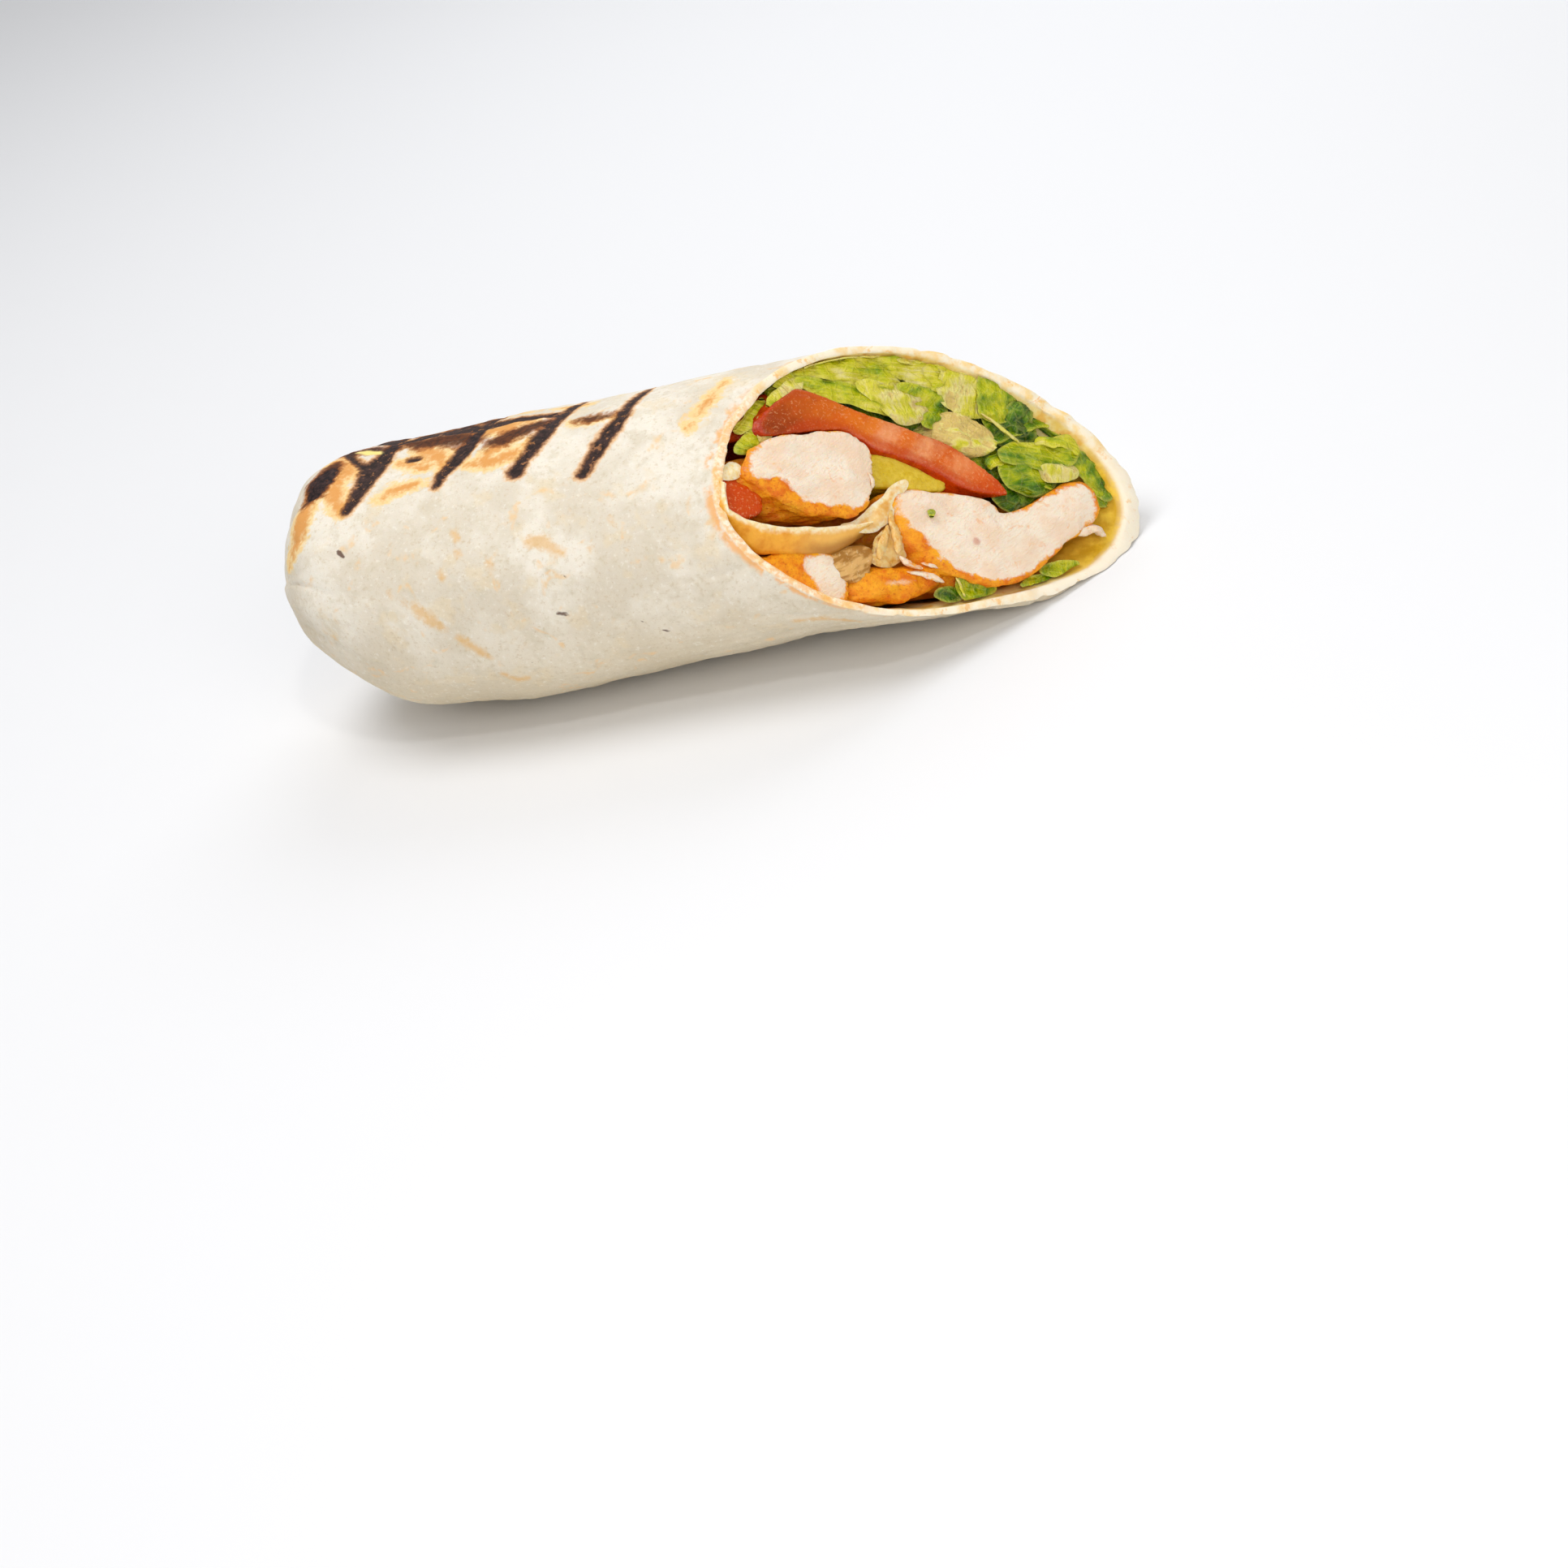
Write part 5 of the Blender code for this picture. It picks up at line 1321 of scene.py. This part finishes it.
def leaf(edge, width, depth, drop, tintFront, tintBack, seed, frill=0.55, wave=3.4, crumple=0.45):
    length = np.linalg.norm(np.diff(np.array(edge), axis=0), axis=1).sum()
    columns = max(14, int(length / lettuce["step"]))
    rows = lettuce["rows"]
    line = curve(edge, columns)
    side = -sideways(line)
    t, v = np.linspace(0, 1, columns), np.linspace(0, 1, rows)[:, None]
    shape = np.clip(1 - (2 * t - 1) ** 6, 0.04, 1) ** 0.5
    run = t * length
    probe = np.stack(np.broadcast_arrays(run, v * abs(width), seed * 3.7), -1)
    ragged = 0.35 * lumps(probe[:1] * np.array([1, 0, 1]), 1.3, seed, 2)
    spot = line + side * (width * (v * shape))[..., None] + side * ragged[..., None] * (1 - v)[..., None]
    ruffle = frill * (1 - 0.75 * v) * np.sin(run * math.tau / wave + seed + 2.2 * lumps(probe, 5, seed + 1))
    rough = crumple * lumps(probe, 1.9, seed + 2, 3)
    deep = depth + drop * v ** 0.8 + ruffle + rough * 0.8 + (1 - shape) * 0.8
    spot = spot + side * (rough * 0.5 + ruffle * 0.3)[..., None]
    places = inWrap(withinWall(spot + seen(deep), -0.4), 1.0, deep)
    # the tint goes from front to back, and the frills' darker back tints are painted shade deeper in
    tint = tintFront + (tintBack - tintFront) * v + 0.1 * lumps(probe, 2.4, seed + 4, 2)
    thick = lettuce["thick"] * (0.7 + 0.5 * v) * np.ones(columns)
    return sheetPart(places, thick, {"tint": tint, "rim": ease(1 - v * 4), "run": v * abs(width),
                                     "across": run})


def crispLettuce():
    finish, place = newFinish("crispLettuce")
    tint, rim = place.field("tint"), place.field("rim")
    cloud, mottle, fine = place.grain(3.2, 2), place.grain(1.1, 3, 0.6), place.grain(0.4, 3, 0.6)
    ribs = place.node("CombineXYZ", {}, {"X": place.field("run"), "Y": place.field("across") * 0.2,
                                         "Z": tint})
    streak = ribs.grain(1.0, 3, 0.6, warp=0.5)
    veins = 1 - place.cells(2.4, "DISTANCE_TO_EDGE").over(0.01, 0.12)
    shade = tint + (cloud - 0.5) * 0.5 + (streak - 0.5) * 0.8 + (mottle - 0.5) * 0.25
    colour = shade.ramp((0.0, rgb(222, 192, 112)), (0.1, rgb(236, 222, 136)), (0.26, rgb(224, 212, 66)),
                        (0.42, rgb(202, 200, 18)), (0.58, rgb(164, 176, 0)), (0.78, rgb(92, 132, 0)),
                        (1.0, rgb(34, 74, 0)))
    colour = (veins * 0.12).mix(colour, rgb(232, 226, 110))
    # painted highlight: paler yellow along the leaves' edges
    colour = (rim.over(0.3, 1.0) * 0.35).mix(colour, rgb(232, 226, 96))
    # painted glints: fine near-white specks on the leaves
    colour = (fine.over(0.62, 0.8) * 0.25).mix(colour, rgb(246, 240, 180))
    height = mottle * 0.5 + streak * 1.4 + fine * 0.2 + veins * 0.15
    place.surface(Base_Color=colour, Roughness=0.14 + 0.22 * fine, Normal=height.bump(0.8, 0.8),
                  Subsurface_Weight=0.3, Subsurface_Radius=(1.0, 1.1, 0.1),
                  Specular_IOR_Level=0.35)
    return finish


def plainLeaf(part, tint):
    # a thick piece in the leaf's own fields
    flat = 0 * part["points"][:, 0]
    part["fields"] = {"tint": flat + tint, "rim": flat, "run": part["points"][:, 1],
                      "across": part["points"][:, 2]}
    return part


def makeLettuce():
    finish = crispLettuce()
    heap = [patch(outline, depth, a, b, toward, lean, seed=100 + 5 * i)
            for i, (outline, depth, a, b, toward, lean) in enumerate(lettuce["leaves"])]
    heap += [leaf(*values, seed=300 + 5 * i) for i, values in enumerate(lettuce["frills"])]
    core = chunk(curve(rounded(lettuce["core"]), 150, closed=True), front=5.0, crown=0.3, corner=1.2,
                 rough=1.2, side=0.4, size=3.0, step=0.6, seed=201)
    # the core is tinted dark green: partly the deep leaves' own colour, partly painted shade in the gaps
    # behind the front leaves
    core = plainLeaf(core, np.clip(0.75 + 0.3 * lumps(core["points"], 3.0, 205, 2), 0.2, 1.0))
    rib = chunk(curve(lettuce["rib"], 110, closed=True), front=-0.2, crown=0.7, corner=1.3,
                rough=1.1, side=0.2, size=2.0, seed=211)
    rib = plainLeaf(rib, -0.04 + 0.3 * lumps(rib["points"], 1.8, 212, 2))
    stem = plainLeaf(strand(*lettuce["stem"], seed=215), 0.12)
    makePiece("saladLeaves", joined([core, rib, stem] + heap), finish, ["salad_heap"])
    for name, group, node, seed in (("lettuceLeft", "left", "lettuce_left", 400),
                                    ("lettuceLow", "low", "lettuce_low", 430),
                                    ("lettuceRight", "right", "lettuce_right", 460)):
        parts = [patch(outline, depth, a, b, toward, lean, seed=seed + 5 * i)
                 for i, (outline, depth, a, b, toward, lean) in enumerate(lettuce[group])]
        if group == "low":
            parts.append(plainLeaf(strand(*lettuce["lowStem"], seed=445), 0.2))
        if group == "right":
            parts.append(patch(lettuce["fleck"], -2.3, 0.6, 0.7, curl=0.1, crumple=0.1, ruffle=0.05,
                               seed=475))
        makePiece(name, joined(parts), finish, [node])


makeLettuce()
